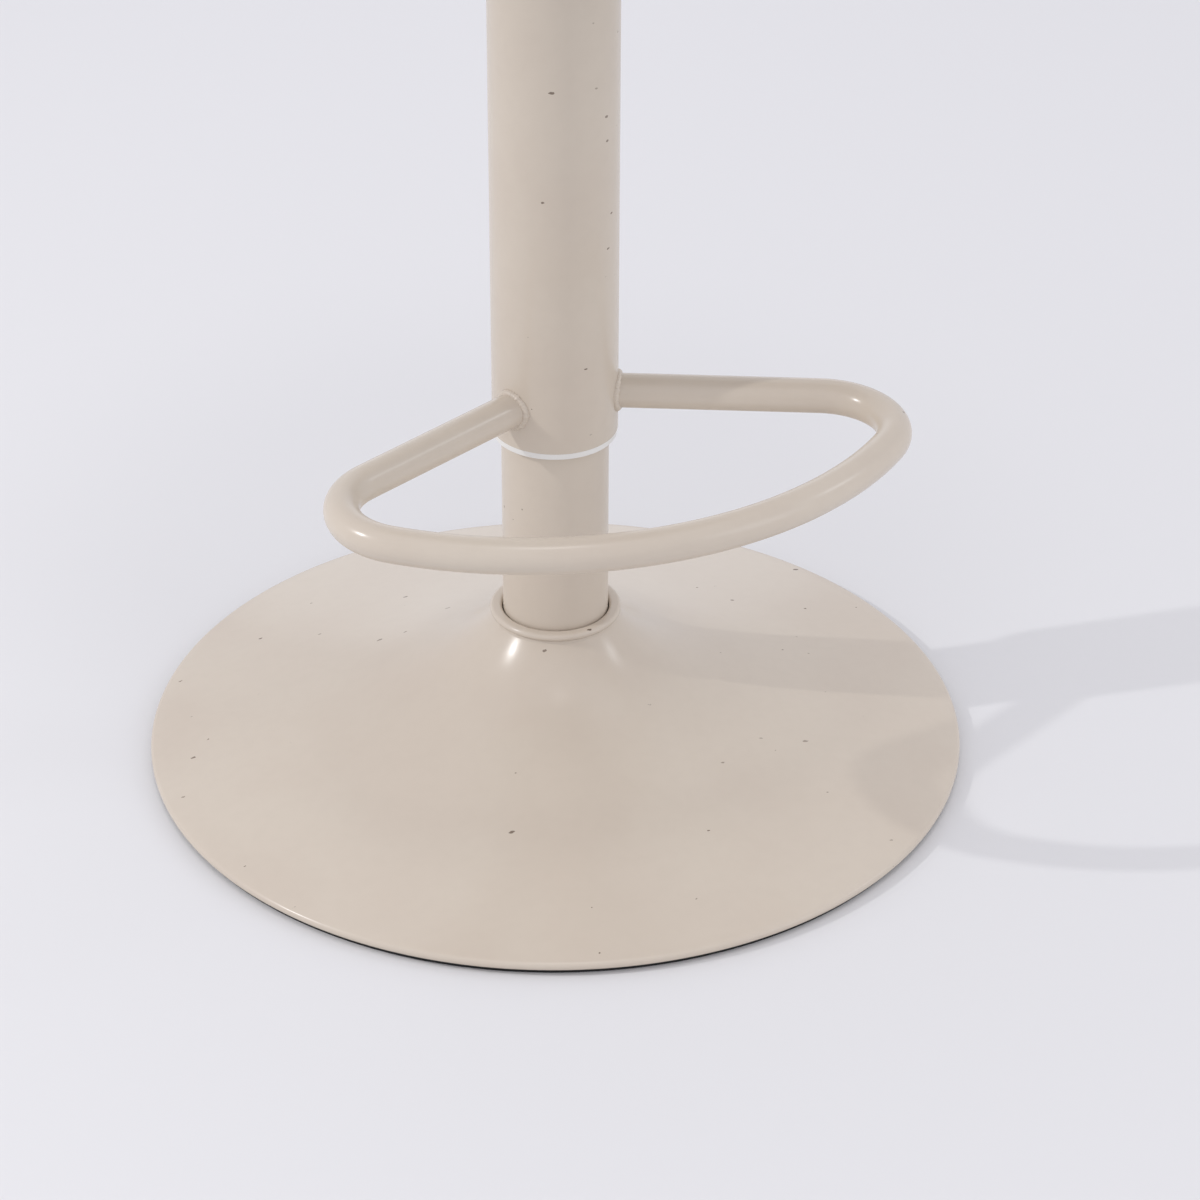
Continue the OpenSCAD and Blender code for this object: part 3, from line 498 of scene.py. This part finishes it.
def floor_paint():
    pale = Finish("pale_floor", IOR=1.45, Roughness=0.75)
    pale.set("Base Color", pale.mix(pale.noise(0.8, 2), tone(225, 225, 226), tone(227, 227, 228)))
    pale.set("Normal", pale.raised(pale.noise(300, 3), 0.00004, 0.3))
    return pale.material


COAT = powder_coat()
NYLON = nylon()
RUBBER = rubber()
PAINT = black_paint()
STEEL = bare_steel()
ZINC = zinc_steel()
CHROME = chromed_rod()
BRASS = brass()
PLASTIC = black_plastic()
PLYWOOD = plywood()
FOAM = foam()
HIDE = leatherette()
BAND_HIDE = leatherette("beige_leatherette_sewn", seam_at_back=True)
CLOTH = dust_cloth_weave()

CAD_FINISHES = {
    COAT: ("base_cover", "neck_bead", "fixed_column", "sleeve", "foot_ring", "foot_ring_welds"),
    RUBBER: ("floor_ring", "column_seal", "piston_seal", "rod_buffer"),
    PAINT: ("closing_sheet", "ballast_disc", "column_flange", "gas_tube", "seat_plate",
            "lever_bracket", "lever_rod"),
    STEEL: ("column_weld", "foot_plug", "lower_race", "upper_race", "piston", "bearing_balls",
            "rod_clip", "rod_guide", "taper_hub", "plate_welds", "lever_rocker", "release_pin"),
    ZINC: ("flange_screws", "weld_nuts", "piston_nut", "lever_pivot", "seat_bolts",
           "bolt_washers", "tee_nuts", "dust_cloth_staples"),
    CHROME: ("piston_rod",),
    BRASS: ("bearing_cage", "valve_body"),
    NYLON: ("glide_ring", "sleeve_bush"),
    PLASTIC: ("guide_bush", "lever_grip"),
    PLYWOOD: ("seat_board",),
    FOAM: ("seat_foam",),
    HIDE: ("seat_top_panel", "seat_band", "welt_top", "welt_bottom"),
    CLOTH: ("dust_cloth",),
}
for material, nodes in CAD_FINISHES.items():
    for node in nodes:
        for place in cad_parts[node].material_slots:
            place.material = material


def dress(piece, body, material, slot, *nodes):
    """Gives a piece its finish, the body that carries it and the nodes that it stands for"""
    piece.data.materials.clear()
    piece.data.materials.append(material)
    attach(piece, body)
    if nodes:
        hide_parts(*nodes)
    return piece


# Base

def flare_z(radius):
    """The cover's height at a radius: a cone that flares up to the neck"""
    return (CONE_START[1] + CONE_SLOPE * (CONE_START[0] - radius)
            + FLARE_H * math.exp((NECK_R - radius) / FLARE_LEN))


def trumpet_cover():
    """The spun cover with its rolled rim, as a closed sheet"""
    outside, inside = [], []
    points, crowding = 56, 1.7
    lip_edge, neck_edge, neck_in_edge = 0.4, 0.5, 0.3
    for i in range(points):
        radius = NECK_R + (CONE_START[0] - NECK_R) * ((points - i) / points) ** crowding
        slope = CONE_SLOPE + FLARE_H / FLARE_LEN * math.exp((NECK_R - radius) / FLARE_LEN)
        length = math.hypot(slope, 1)
        outside.append((radius, flare_z(radius)))
        inside.append((radius - SHEET * slope / length, flare_z(radius) - SHEET / length))
    rim_end = 90 - math.degrees(math.atan(CONE_SLOPE))
    neck_in = NECK_R - SHEET
    outline = (arc((LIP_R + lip_edge, COVER_LOW_Z + lip_edge), lip_edge, 180, 270, 3)
               + arc(RIM_C, RIM_ROLL_R, -90, rim_end, 14)[:-1] + outside
               + [(NECK_R, flare_z(NECK_R))]
               + arc((NECK_R - neck_edge, NECK_Z - neck_edge), neck_edge, 0, 90, 4)
               + arc((neck_in + neck_in_edge, NECK_Z - neck_in_edge), neck_in_edge, 90, 180, 3)
               + [(neck_in, flare_z(NECK_R) - 0.8)] + inside[::-1]
               + arc(RIM_C, RIM_BEND_R, rim_end, -90, 8)[1:]
               + arc((LIP_R + lip_edge, COVER_LOW_Z + SHEET - lip_edge), lip_edge, 90, 180, 3))
    cover = turned("trumpet_cover", closed(outline), 256, 40)
    return dress(cover, "base", COAT, "powder_coat", "base_cover")


def rubber_rim():
    """The black ring that the stool stands on, stepped up inside the cover's lip"""
    out_r, in_r, step_r = 197.4, 174.4, 187.7
    in_edge, low_edge, top_edge = 0.6, 0.7, 0.4
    outline = (arc((in_r + in_edge, in_edge), in_edge, 180, 270, 3)
               + arc((out_r - low_edge, low_edge), low_edge, -90, 0, 4)
               + arc((out_r - top_edge, COVER_LOW_Z - top_edge), top_edge, 0, 90, 3)
               + [(step_r, COVER_LOW_Z), (step_r, COVER_LOW_Z + SHEET),
                  (in_r, COVER_LOW_Z + SHEET)])
    ring = turned("rubber_rim", closed(outline), 256, 35)
    return dress(ring, "base", RUBBER, "black_rubber", "floor_ring")


def collar_bead():
    """The round-edged bead on the neck, with the skirt by which it sits in it"""
    skirt_in, skirt_out, skirt_z = 27.4, 28.9, 64.8
    inner, outer = BEAD_IN_R + BEAD_R, BEAD_OUT_R - BEAD_R
    last = 180 + math.degrees(math.acos((inner - skirt_in) / BEAD_R))
    outline = ([(skirt_in, skirt_z), (skirt_out, skirt_z), (skirt_out, BEAD_Z - BEAD_R)]
               + arc((outer, BEAD_Z), BEAD_R, -90, 90, 16)
               + arc((inner, BEAD_Z), BEAD_R, 90, last, 16))
    bead = turned("collar_bead", closed(outline), 160, 40)
    return dress(bead, "base", COAT, "powder_coat", "neck_bead")


def collar_seal():
    """The dark seal between the bead and the column, dished on top"""
    low, high, in_r, out_r, dish = 66.8, NECK_Z, 25.6, 27.3, 0.5
    outline = [(in_r, low), (out_r, low), (out_r, high), (out_r - 0.3, high - 0.3),
               (out_r - 0.7, high - dish), (in_r + dish, high - dish), (in_r, high - 0.1)]
    seal = turned("collar_seal", closed(outline), 128, 35)
    return dress(seal, "base", RUBBER, "black_rubber", "column_seal")


def inner_column():
    """The fixed column's tube"""
    wall, edge = 2, 0.4
    wall_in = COLUMN_R - wall
    outline = ([(wall_in, COLUMN_LOW_Z), (COLUMN_R, COLUMN_LOW_Z)]
               + arc((COLUMN_R - edge, COLUMN_TOP_Z - edge), edge, 0, 90, 3)
               + arc((wall_in + edge, COLUMN_TOP_Z - edge), edge, 90, 180, 3))
    column = turned("inner_column", closed(outline), 160, 35)
    return dress(column, "base", COAT, "powder_coat", "fixed_column")


# Sleeve and foot ring

def sliding_sleeve():
    """The sleeve's tube, rounded at its lower end"""
    edge, in_edge = 0.6, 0.3
    outline = (arc((SLEEVE_IN_R + in_edge, SLEEVE_Z + in_edge), in_edge, 180, 270, 3)
               + arc((SLEEVE_R - edge, SLEEVE_Z + edge), edge, -90, 0, 6)
               + [(SLEEVE_R, SLEEVE_TOP_Z), (SLEEVE_IN_R, SLEEVE_TOP_Z)])
    sleeve = turned("sliding_sleeve", closed(outline), 160, 40)
    return dress(sleeve, "seat", COAT, "powder_coat", "sleeve")


def bush_band():
    """The white bush: the band that shows below the sleeve, and its length inside it"""
    bore, shell, band, edge = 25.55, 28.15, 29.25, 0.5
    band_h, inside_h = 3, 28
    low, high = SLEEVE_Z - band_h, SLEEVE_Z + inside_h
    outline = (arc((bore + edge, low + edge), edge, 180, 270, 4)
               + arc((band - edge, low + edge), edge, -90, 0, 5)
               + [(band, SLEEVE_Z), (shell, SLEEVE_Z), (shell, high), (bore, high)])
    bush = turned("bush_band", closed(outline), 160, 40)
    return dress(bush, "seat", NYLON, "white_nylon", "sleeve_bush")


def foot_hoop():
    """The bent foot rail, from one weld on the sleeve round to the other"""
    forward = Vector((math.cos(HOOP_HEADING), math.sin(HOOP_HEADING), 0))
    leg = HOOP_LEG_END - HOOP_LEG_START
    hoop = bar("foot_hoop", HOOP_TUBE_R, forward * HOOP_LEG_START + Vector((0, 0, HOOP_Z)),
               forward, [(leg, HOOP_SIDE_R, HOOP_SIDE_TURN), (0, HOOP_FRONT_R, HOOP_FRONT_TURN),
                         (0, HOOP_SIDE_R, HOOP_SIDE_TURN), (leg, 0, 0)], sides=56)
    return dress(hoop, "seat", COAT, "powder_coat", "foot_ring")


def weld_bead(name, path, girth, pitch, lean):
    """A weld laid along a path of places and directions away from its two walls: one flat,
    leaning ripple for each step of the torch, melted together"""
    grain = 0.32 * MM
    ripple = start("uv_sphere", name + "_ripple", segments=20, ring_count=10, radius=girth * MM)
    open_mesh(ripple)
    bpy.ops.transform.resize(value=(1, 1, pitch / girth * 0.95))
    close_mesh(ripple)
    chance = random.Random(name)
    places = []
    for number, (place, outward) in enumerate(path):
        ahead = (path[(number + 1) % len(path)][0] - path[number - 1][0]).normalized()
        side = outward.cross(ahead).normalized()
        outward = ahead.cross(side)
        swing = chance.uniform(0.86, 1.12)
        facing = Matrix((side, outward, ahead)).transposed().to_4x4()
        places.append(Matrix.Translation(place * MM) @ facing @ turn(lean, "X")
                      @ Matrix.Diagonal((swing, swing, 1, 1)))
    bead = joined(copies(ripple, places), name)
    bead.data.remesh_voxel_size = grain
    alone(bead)
    bpy.ops.object.voxel_remesh()
    bead = applied(bead, "SMOOTH", factor=0.5, iterations=1)
    bpy.ops.object.shade_smooth()
    return bead


def hoop_welds():
    """The two beads where the foot rail meets the sleeve"""
    beads = []
    girth, pitch, lean, proud, ripples = 1.95, 1.3, 0.6, 0.1, 44
    for side, name in ((1, "hoop_weld_left"), (-1, "hoop_weld_right")):
        forward = Vector((side * math.cos(HOOP_HEADING), math.sin(HOOP_HEADING), 0))
        across = forward.cross(UP)
        path = []
        for i in range(ripples):
            a = 2 * math.pi * i / ripples
            round_tube = across * math.cos(a) + UP * math.sin(a)
            over = round_tube * HOOP_TUBE_R
            reach = math.sqrt(SLEEVE_R ** 2 - (HOOP_TUBE_R * math.cos(a)) ** 2)
            place = forward * reach + over + Vector((0, 0, HOOP_Z))
            from_axis = Vector((place.x, place.y, 0)).normalized()
            path.append((place + (round_tube + from_axis) * proud,
                         (round_tube + from_axis).normalized()))
        bead = weld_bead(name, path, girth, pitch, lean)
        beads.append(dress(bead, "seat", COAT, "powder_coat", "foot_ring_welds"))
    return beads


# Seat plate

def rounded_box(name, width, corner_r, low, high):
    """A square block with round corners"""
    box = start("plane", name, size=width * MM, location=(0, 0, low * MM))
    open_mesh(box)
    bpy.ops.mesh.bevel(offset=corner_r * MM, segments=8, affect="VERTICES")
    bpy.ops.mesh.select_all(action="SELECT")
    bpy.ops.mesh.extrude_region_move(
        TRANSFORM_OT_translate={"value": (0, 0, (high - low) * MM)})
    return close_mesh(box)


def pressed_plate():
    """The steel plate with a pan pressed down in its middle, drawn in rings that run from under
    the pan out to the rim, over it and back down to the pan's floor"""
    pan, rim, outer_bend, edge, shoulder, inner_bend = 75.0, 100.0, 3.6, 0.3, 5.5, 2.5
    top, inside = PLATE_RIM_Z + PLATE_T, pan - PLATE_T
    rings = (arc((pan - outer_bend, PLATE_Z + outer_bend), outer_bend, -90, 0, 4)
             + arc((pan + outer_bend, PLATE_RIM_Z - outer_bend), outer_bend, 180, 90, 4)
             + arc((rim - edge, PLATE_RIM_Z + edge), edge, -90, 0, 1)
             + arc((rim - edge, top - edge), edge, 0, 90, 1)
             + arc((inside + shoulder, top - shoulder), shoulder, 90, 180, 5)
             + arc((inside - inner_bend, PLATE_Z + PLATE_T + inner_bend), inner_bend, 0, -90, 4))
    corner_share = 0.18
    width, height = rings[0]
    plate = start("plane", "pressed_plate", size=2 * width * MM, location=(0, 0, height * MM))
    open_mesh(plate)
    bpy.ops.mesh.bevel(offset=corner_share * width * MM, segments=8, affect="VERTICES")
    bpy.ops.mesh.select_mode(type="FACE")
    bpy.ops.mesh.select_all(action="SELECT")
    for next_width, next_height in rings[1:]:
        bpy.ops.mesh.extrude_region_move(
            TRANSFORM_OT_translate={"value": (0, 0, (next_height - height) * MM)})
        share = next_width / width
        bpy.ops.transform.resize(value=(share, share, 1), center_override=(0, 0, 0))
        width, height = next_width, next_height
    close_mesh(plate)
    hole_depth, slot, slot_z = 20 * MM, (12, 16, 16.6), 516.2
    cutters = [start("cylinder", "cutter", vertices=96, radius=HUB_R * MM, depth=hole_depth,
                     location=(0, 0, PLATE_Z * MM)),
               start("cube", "cutter", size=MM, scale=slot,
                     location=(pan * MM, 0, slot_z * MM))]
    for x in (-BOLT_X, BOLT_X):
        for y in (-BOLT_X, BOLT_X):
            cutters.append(start("cylinder", "cutter", vertices=48, radius=BOLT_HOLE_R * MM,
                                 depth=hole_depth, location=(x * MM, y * MM, PLATE_RIM_Z * MM)))
    cut(plate, *cutters)
    return dress(plate, "seat", PAINT, "black_paint", "seat_plate")


def bolt_places():
    """The four corners of the plate where a bolt goes up"""
    return [shift(x, y) for x in (-BOLT_X, BOLT_X) for y in (-BOLT_X, BOLT_X)]


def hex_bolts():
    """Bolts with chamfered hexagon heads, up into the board's tee nuts"""
    head_low, head_high, end_z = 518.9, WASHER_Z, 537.8
    corner_r, chamfer_r, chamfer_h, shank_r, shank_edge = 5.77, 4.55, 0.78, 3.0, 0.5
    cutter_r, cutter_high = corner_r + 0.13, head_high + 1
    bolt = start("cylinder", "hex_bolt", vertices=6, radius=corner_r * MM,
                 depth=(head_high - head_low) * MM,
                 location=(0, 0, (head_low + head_high) / 2 * MM))
    chamfer = turned("cutter", [(0, head_low), (chamfer_r, head_low),
                                (cutter_r, head_low + chamfer_h),
                                (cutter_r, cutter_high), (0, cutter_high)], 64)
    cut(bolt, chamfer, how="INTERSECT")
    shank = turned("shank", [(0, head_high - 0.5), (shank_r, head_high - 0.5),
                             (shank_r, end_z - shank_edge), (shank_r - shank_edge, end_z),
                             (0, end_z)], 48)
    bolt = joined([bolt, shank], "hex_bolt")
    return [dress(piece, "seat", ZINC, "zinc_steel", "seat_bolts")
            for piece in copies(bolt, bolt_places())]


def flat_washers():
    """Stamped washers, round-edged underneath"""
    radius, in_edge, out_edge = 7, 0.25, 0.4
    outline = (arc((BOLT_HOLE_R + in_edge, WASHER_Z + in_edge), in_edge, 180, 270, 2)
               + arc((radius - out_edge, WASHER_Z + out_edge), out_edge, -90, 0, 3)
               + [(radius, PLATE_RIM_Z), (BOLT_HOLE_R, PLATE_RIM_Z)])
    washer = turned("flat_washer", closed(outline), 64)
    return [dress(piece, "seat", ZINC, "zinc_steel", "bolt_washers")
            for piece in copies(washer, bolt_places())]


def plate_beads():
    """The weld beads under the plate, round the sleeve and round the hub inside it"""
    beads = []
    girth, pitch, lean, proud = 2.2, 1.4, 0.5, 0.45
    for name, radius, ripples in (("sleeve_bead", SLEEVE_R, 130), ("hub_bead", HUB_R, 90)):
        path = []
        for i in range(ripples):
            a = 2 * math.pi * i / ripples
            outward = Vector((math.cos(a), math.sin(a), 0))
            place = outward * (radius + proud) + Vector((0, 0, PLATE_Z - proud))
            path.append((place, (outward - UP).normalized()))
        bead = weld_bead(name, path, girth, pitch, lean)
        beads.append(dress(bead, "seat", PAINT, "black_paint", "plate_welds"))
    return beads


# Lever

def lever_bar():
    """The lever's bent bar, straight out and then down to the grip"""
    runs = [(LEVER_BEND_X - LEVER_START_X, LEVER_BEND_R, LEVER_TURN),
            (LEVER_SLOPE, LEVER_BEND_R, -LEVER_TURN),
            (GRIP_X + GRIP_SEAT - LEVER_LOW_X, 0, 0)]
    rod = bar("lever_bar", LEVER_R, Vector((LEVER_START_X, 0, LEVER_Z)), Vector((1, 0, 0)), runs,
              normal=Vector((0, -1, 0)), sides=40)
    return dress(rod, "lever", PAINT, "black_paint", "lever_rod")


def hand_grip():
    """The moulded grip, ribbed for the fingers, turned upright and then laid along the lever"""
    thin_r, thick_r, edge, bore = 5.5, 7.0, 1.0, 4.1
    first_groove, groove_pitch, grooves = 10, 5, 9
    groove = ((0, 0), (0.35, 0.12), (0.8, 0.42), (1.6, 0.42), (2.05, 0.12), (2.4, 0))

    def girth(along):
        return thin_r + (thick_r - thin_r) * (along - edge) / (GRIP_LEN - thick_r - edge)
    outline = [(bore, 0), (thin_r - edge, 0), (thin_r, edge)]
    for number in range(grooves):
        along = first_groove + groove_pitch * number
        outline += [(girth(along + ahead) - depth, along + ahead) for ahead, depth in groove]
    outline += arc((0, GRIP_LEN - thick_r), thick_r, 0, 90, 12)
    outline += [(0, GRIP_SEAT), (bore, GRIP_SEAT)]
    grip = turned("hand_grip", closed(outline), 96, 35)
    grip.data.transform(shift(GRIP_X, 0, GRIP_Z) @ turn(math.pi / 2, "Y"))
    return dress(grip, "lever", PLASTIC, "black_plastic", "lever_grip")


# Seat

def crown_z(radius):
    """The height of the seat's crowned top at a radius"""
    return SEAM_Z + CROWN_H * (1 - (radius / CUSHION_R) ** 2.6)


def seat_cushion():
    """The padded seat: its shape is drawn a little small, blown up between its sewn seams,
    puckered along them and hollowed for the board"""
    rings, side_rings, side_top, side_low, bulge = 30, 12, 590, 533, 0.9
    crown = [(CUSHION_R * i / rings, crown_z(CUSHION_R * i / rings)) for i in range(rings)]
    side = [(CUSHION_R + bulge * math.sin(math.pi * i / side_rings),
             side_top - (side_top - side_low) * i / side_rings) for i in range(side_rings + 1)]
    outline = crown + [(CUSHION_R, SEAM_Z - 1)] + side + [(CUSHION_R, CUSHION_LOW_Z),
                                                         (0, CUSHION_LOW_Z)]
    pad = turned("seat_cushion", outline, 192)
    pad.data.remesh_voxel_size = 4.6 * MM
    alone(pad)
    bpy.ops.object.voxel_remesh()
    inflate(pad, 7 * MM)
    applied(pad, "SUBSURF", levels=1, render_levels=1)
    pucker(pad)
    over_board, depth = 0.2, 19.4
    cutter = start("cylinder", "cutter", vertices=192, radius=BOARD_R * MM, depth=depth * MM,
                   location=(0, 0, (BOARD_TOP_Z + over_board - depth / 2) * MM))
    cut(pad, cutter)
    alone(pad)
    bpy.ops.object.shade_smooth_by_angle(angle=math.radians(60))
    dress(pad, "seat", BAND_HIDE, "leatherette", "seat_foam", "seat_top_panel", "seat_band")
    return pad


def inflate(pad, most):
    """Blows the cover up with its seams held, and lets no point move further than the most"""
    seam_r, seam_z, seam_half, frames = 176, SEAM_Z - WELT_R, 5.5, 20
    before = [corner.co.copy() for corner in pad.data.vertices]
    held = pad.vertex_groups.new(name="seams")
    for number, place in enumerate(before):
        radius = math.hypot(place.x, place.y) / MM
        at_seam = radius > seam_r and abs(place.z / MM - seam_z) < seam_half
        if at_seam or place.z / MM < BAND_LOW_Z:
            held.add([number], 1.0, "REPLACE")
    alone(pad)
    modifier = pad.modifiers.new("air", "CLOTH")
    modifier.settings.use_pressure = True
    modifier.settings.uniform_pressure_force = 4
    modifier.settings.effector_weights.gravity = 0
    modifier.settings.vertex_group_mass = held.name
    modifier.point_cache.frame_end = frames
    for number in range(1, frames + 1):
        bpy.context.scene.frame_set(number)
    bpy.ops.object.modifier_apply(modifier=modifier.name)
    bpy.context.scene.frame_set(1)
    pad.vertex_groups.clear()
    for corner, place in zip(pad.data.vertices, before):
        move = corner.co - place
        if move.length > most:
            corner.co = place + move.normalized() * most


def pucker(pad):
    """Small uneven folds that run out from the sewn seams"""
    chance = random.Random(7)
    folds = [(chance.randint(38, 110), chance.uniform(0, 2 * math.pi), chance.uniform(0.4, 1))
             for _ in range(9)]
    crown_fold, band_fold = 0.55, 0.4
    scale = sum(size for _, _, size in folds) / 2.2
    for corner in pad.data.vertices:
        radius, height = math.hypot(corner.co.x, corner.co.y) / MM, corner.co.z / MM
        if height < BAND_LOW_Z:
            continue
        angle = math.atan2(corner.co.y, corner.co.x)
        wave = sum(size * math.sin(count * angle + phase) for count, phase, size in folds) / scale
        if height > SEAM_Z - 1:
            fade = math.exp(-max(0, 184 - radius) / 9)
            corner.co.z += crown_fold * wave * fade * MM
        else:
            fade = (math.exp(-max(0, 589 - height) / 8)
                    + 0.8 * math.exp(-max(0, height - BAND_LOW_Z) / 7))
            out = Vector((corner.co.x, corner.co.y, 0)).normalized()
            corner.co += out * band_fold * wave * fade * MM


def tucked_edge():
    """The band's lower edge, turned in under the board and cut off inside the staples"""
    chance = random.Random(3)
    top_z, bend, flat_r, gap = 531.5, 1.2, 172, 0.1
    outline = ([(CUSHION_R, top_z), (CUSHION_R, TUCK_Z + bend)]
               + arc((CUSHION_R - bend, TUCK_Z + bend), bend, 0, -90, 5)
               + [(flat_r, TUCK_Z), (TUCK_R, TUCK_Z + gap), (TUCK_R, BOARD_Z - gap),
                  (BOARD_R, BOARD_Z - gap), (BOARD_R, top_z)])
    lip = turned("tucked_edge", closed(outline), 192, 40)
    waves = [(chance.randint(20, 90), chance.uniform(0, 6.28)) for _ in range(6)]
    for corner in lip.data.vertices:
        radius = math.hypot(corner.co.x, corner.co.y) / MM
        if radius < 180 and corner.co.z / MM < TUCK_Z + 0.3:
            angle = math.atan2(corner.co.y, corner.co.x)
            corner.co.z += 0.1 * MM * sum(math.sin(n * angle + p) for n, p in waves) / 2
    return dress(lip, "seat", HIDE, "leatherette", "seat_band")


def piping():
    """The two welts, round cords in leatherette that sit against the band"""
    made = []
    flat_r = 186.1
    end = math.degrees(math.acos((flat_r - WELT_C_R) / WELT_R))
    for name, node, height in (("upper_piping", "welt_top", SEAM_Z - WELT_R),
                               ("lower_piping", "welt_bottom", BOARD_Z + WELT_R)):
        outline = arc((WELT_C_R, height), WELT_R, -end, end, 18)
        cord = turned(name, closed(outline), 256, 60)
        made.append(dress(cord, "seat", HIDE, "leatherette", node))
    return made


def underside_cloth():
    """The black cloth stretched over the underside, cut out for the seat plate"""
    mid_z, thickness, radius, hole_w, hole_corner_r, slack = 526.55, 0.35, 158.4, 204, 20, 0.12
    cloth = start("grid", "underside_cloth", x_subdivisions=72, y_subdivisions=72, size=330 * MM,
                  location=(0, 0, mid_z * MM))
    chance = random.Random(11)
    waves = [(chance.uniform(40, 120), chance.uniform(0, 6.28), chance.uniform(0, 6.28))
             for _ in range(7)]
    for corner in cloth.data.vertices:
        ripple = sum(math.sin(k * (corner.co.x * math.cos(a) + corner.co.y * math.sin(a)) + p)
                     for k, a, p in waves) / 7
        corner.co.z += slack * MM * ripple
    applied(cloth, "SOLIDIFY", thickness=thickness * MM, offset=0.0)
    disc = start("cylinder", "cutter", vertices=192, radius=radius * MM, depth=6 * MM,
                 location=(0, 0, mid_z * MM))
    hole = rounded_box("cutter", hole_w, hole_corner_r, mid_z - 3, mid_z + 3)
    cut(cloth, disc, how="INTERSECT")
    cut(cloth, hole)
    dress(cloth, "seat", CLOTH, "dust_cloth", "dust_cloth")
    return cloth


def staples():
    """The staples round the cloth, each a flat crown with its legs up in the board"""
    low_z, radius, half, leg, bend, wire_r, count = 525.85, 154.35, 4.65, 5.0, 0.6, 0.35, 24
    start_at = Vector((radius, -half, low_z + leg + bend))
    runs = [(leg, bend, -math.pi / 2), (2 * (half - bend), bend, -math.pi / 2), (leg, 0, 0)]
    staple = bar("staple", wire_r, start_at, -UP, runs, normal=Vector((-1, 0, 0)), sides=10)
    return [dress(piece, "seat", ZINC, "zinc_steel", "dust_cloth_staples")
            for piece in copies(staple, [turn(2 * math.pi * (i + 0.5) / count)
                                         for i in range(count)])]


trumpet_cover()
rubber_rim()
collar_bead()
collar_seal()
inner_column()
sliding_sleeve()
bush_band()
foot_hoop()
hoop_welds()
pressed_plate()
hex_bolts()
flat_washers()
plate_beads()
lever_bar()
hand_grip()
seat_cushion()
tucked_edge()
piping()
underside_cloth()
staples()


# Floor, light and camera

DOME_LIGHT = 1.07
BACKDROP = tone(230, 229, 235)


def softbox(name, place, target, size, power, colour=(1, 1, 1)):
    """A round lamp that shines on a target and isn't seen itself"""
    light = bpy.data.lights.new(name, "AREA")
    light.shape = "DISK"
    light.size = size
    light.energy = power
    light.color = colour
    lamp = bpy.data.objects.new(name, light)
    bpy.context.scene.collection.objects.link(lamp)
    lamp.location = place
    lamp.visible_camera = False
    lamp.rotation_euler = (Vector(target) - Vector(place)).to_track_quat("-Z", "Y").to_euler()
    return lamp


def studio():
    """A pale floor and backdrop, with the photograph's lamps"""
    scene = bpy.context.scene
    scene.view_settings.view_transform = "Standard"
    floor = start("grid", "floor", x_subdivisions=4, y_subdivisions=4, size=24)
    floor.data.materials.append(floor_paint())

    world = bpy.data.worlds.new("studio")
    scene.world = world
    world.use_nodes = True
    nodes, links = world.node_tree.nodes, world.node_tree.links
    backdrop = nodes["Background"]
    backdrop.inputs["Color"].default_value = BACKDROP
    # Seen directly or in a gloss, the backdrop has the floor's colour; its light is a little more
    path = nodes.new("ShaderNodeLightPath")
    seen = path.outputs["Is Camera Ray"]
    for further in ("Is Glossy Ray", "Is Transmission Ray"):
        either = nodes.new("ShaderNodeMath")
        either.operation = "MAXIMUM"
        links.new(seen, either.inputs[0])
        links.new(path.outputs[further], either.inputs[1])
        seen = either.outputs[0]
    strength = nodes.new("ShaderNodeMapRange")
    strength.inputs["To Min"].default_value = DOME_LIGHT
    strength.inputs["To Max"].default_value = 1.0
    links.new(seen, strength.inputs["Value"])
    links.new(strength.outputs["Result"], backdrop.inputs["Strength"])

    base, cool = (0, 0, 0.1), (0.92, 0.97, 1)
    # The near lamp on the left throws the photograph's two shadows
    softbox("key_left", (-1.815, 0.252, 1.376), base, 0.04, 12.5)
    softbox("right", (1.60, -0.51, 1.13), base, 0.3, 1.5, cool)
    softbox("front_low", (1.55, -1.85, 0.97), base, 1.2, 4.5, cool)
    softbox("above_front", (-0.15, -0.6, 2.35), (0, -0.15, 0.2), 0.5, 2.6)
    softbox("back", (0.85, 2.35, 0.62), (0, 0, 0.05), 1.4, 2.2, (0.9, 0.96, 1))


def photograph_camera():
    """The camera that the photograph was taken with, fitted to the base and the foot rail"""
    view = bpy.data.cameras.new("camera")
    view.lens, view.sensor_width = 102.44, 36
    view.clip_start, view.clip_end = 0.02, 60
    camera = bpy.data.objects.new("camera", view)
    bpy.context.scene.collection.objects.link(camera)
    camera.location = (-0.52273, -1.32414, 0.93253)
    forward = Vector((0.32675, 0.79229, -0.51527))
    roll = Quaternion((0, 0, 1), math.radians(0.266))
    camera.rotation_mode = "QUATERNION"
    camera.rotation_quaternion = forward.to_track_quat("-Z", "Y") @ roll
    bpy.context.scene.camera = camera


studio()
photograph_camera()
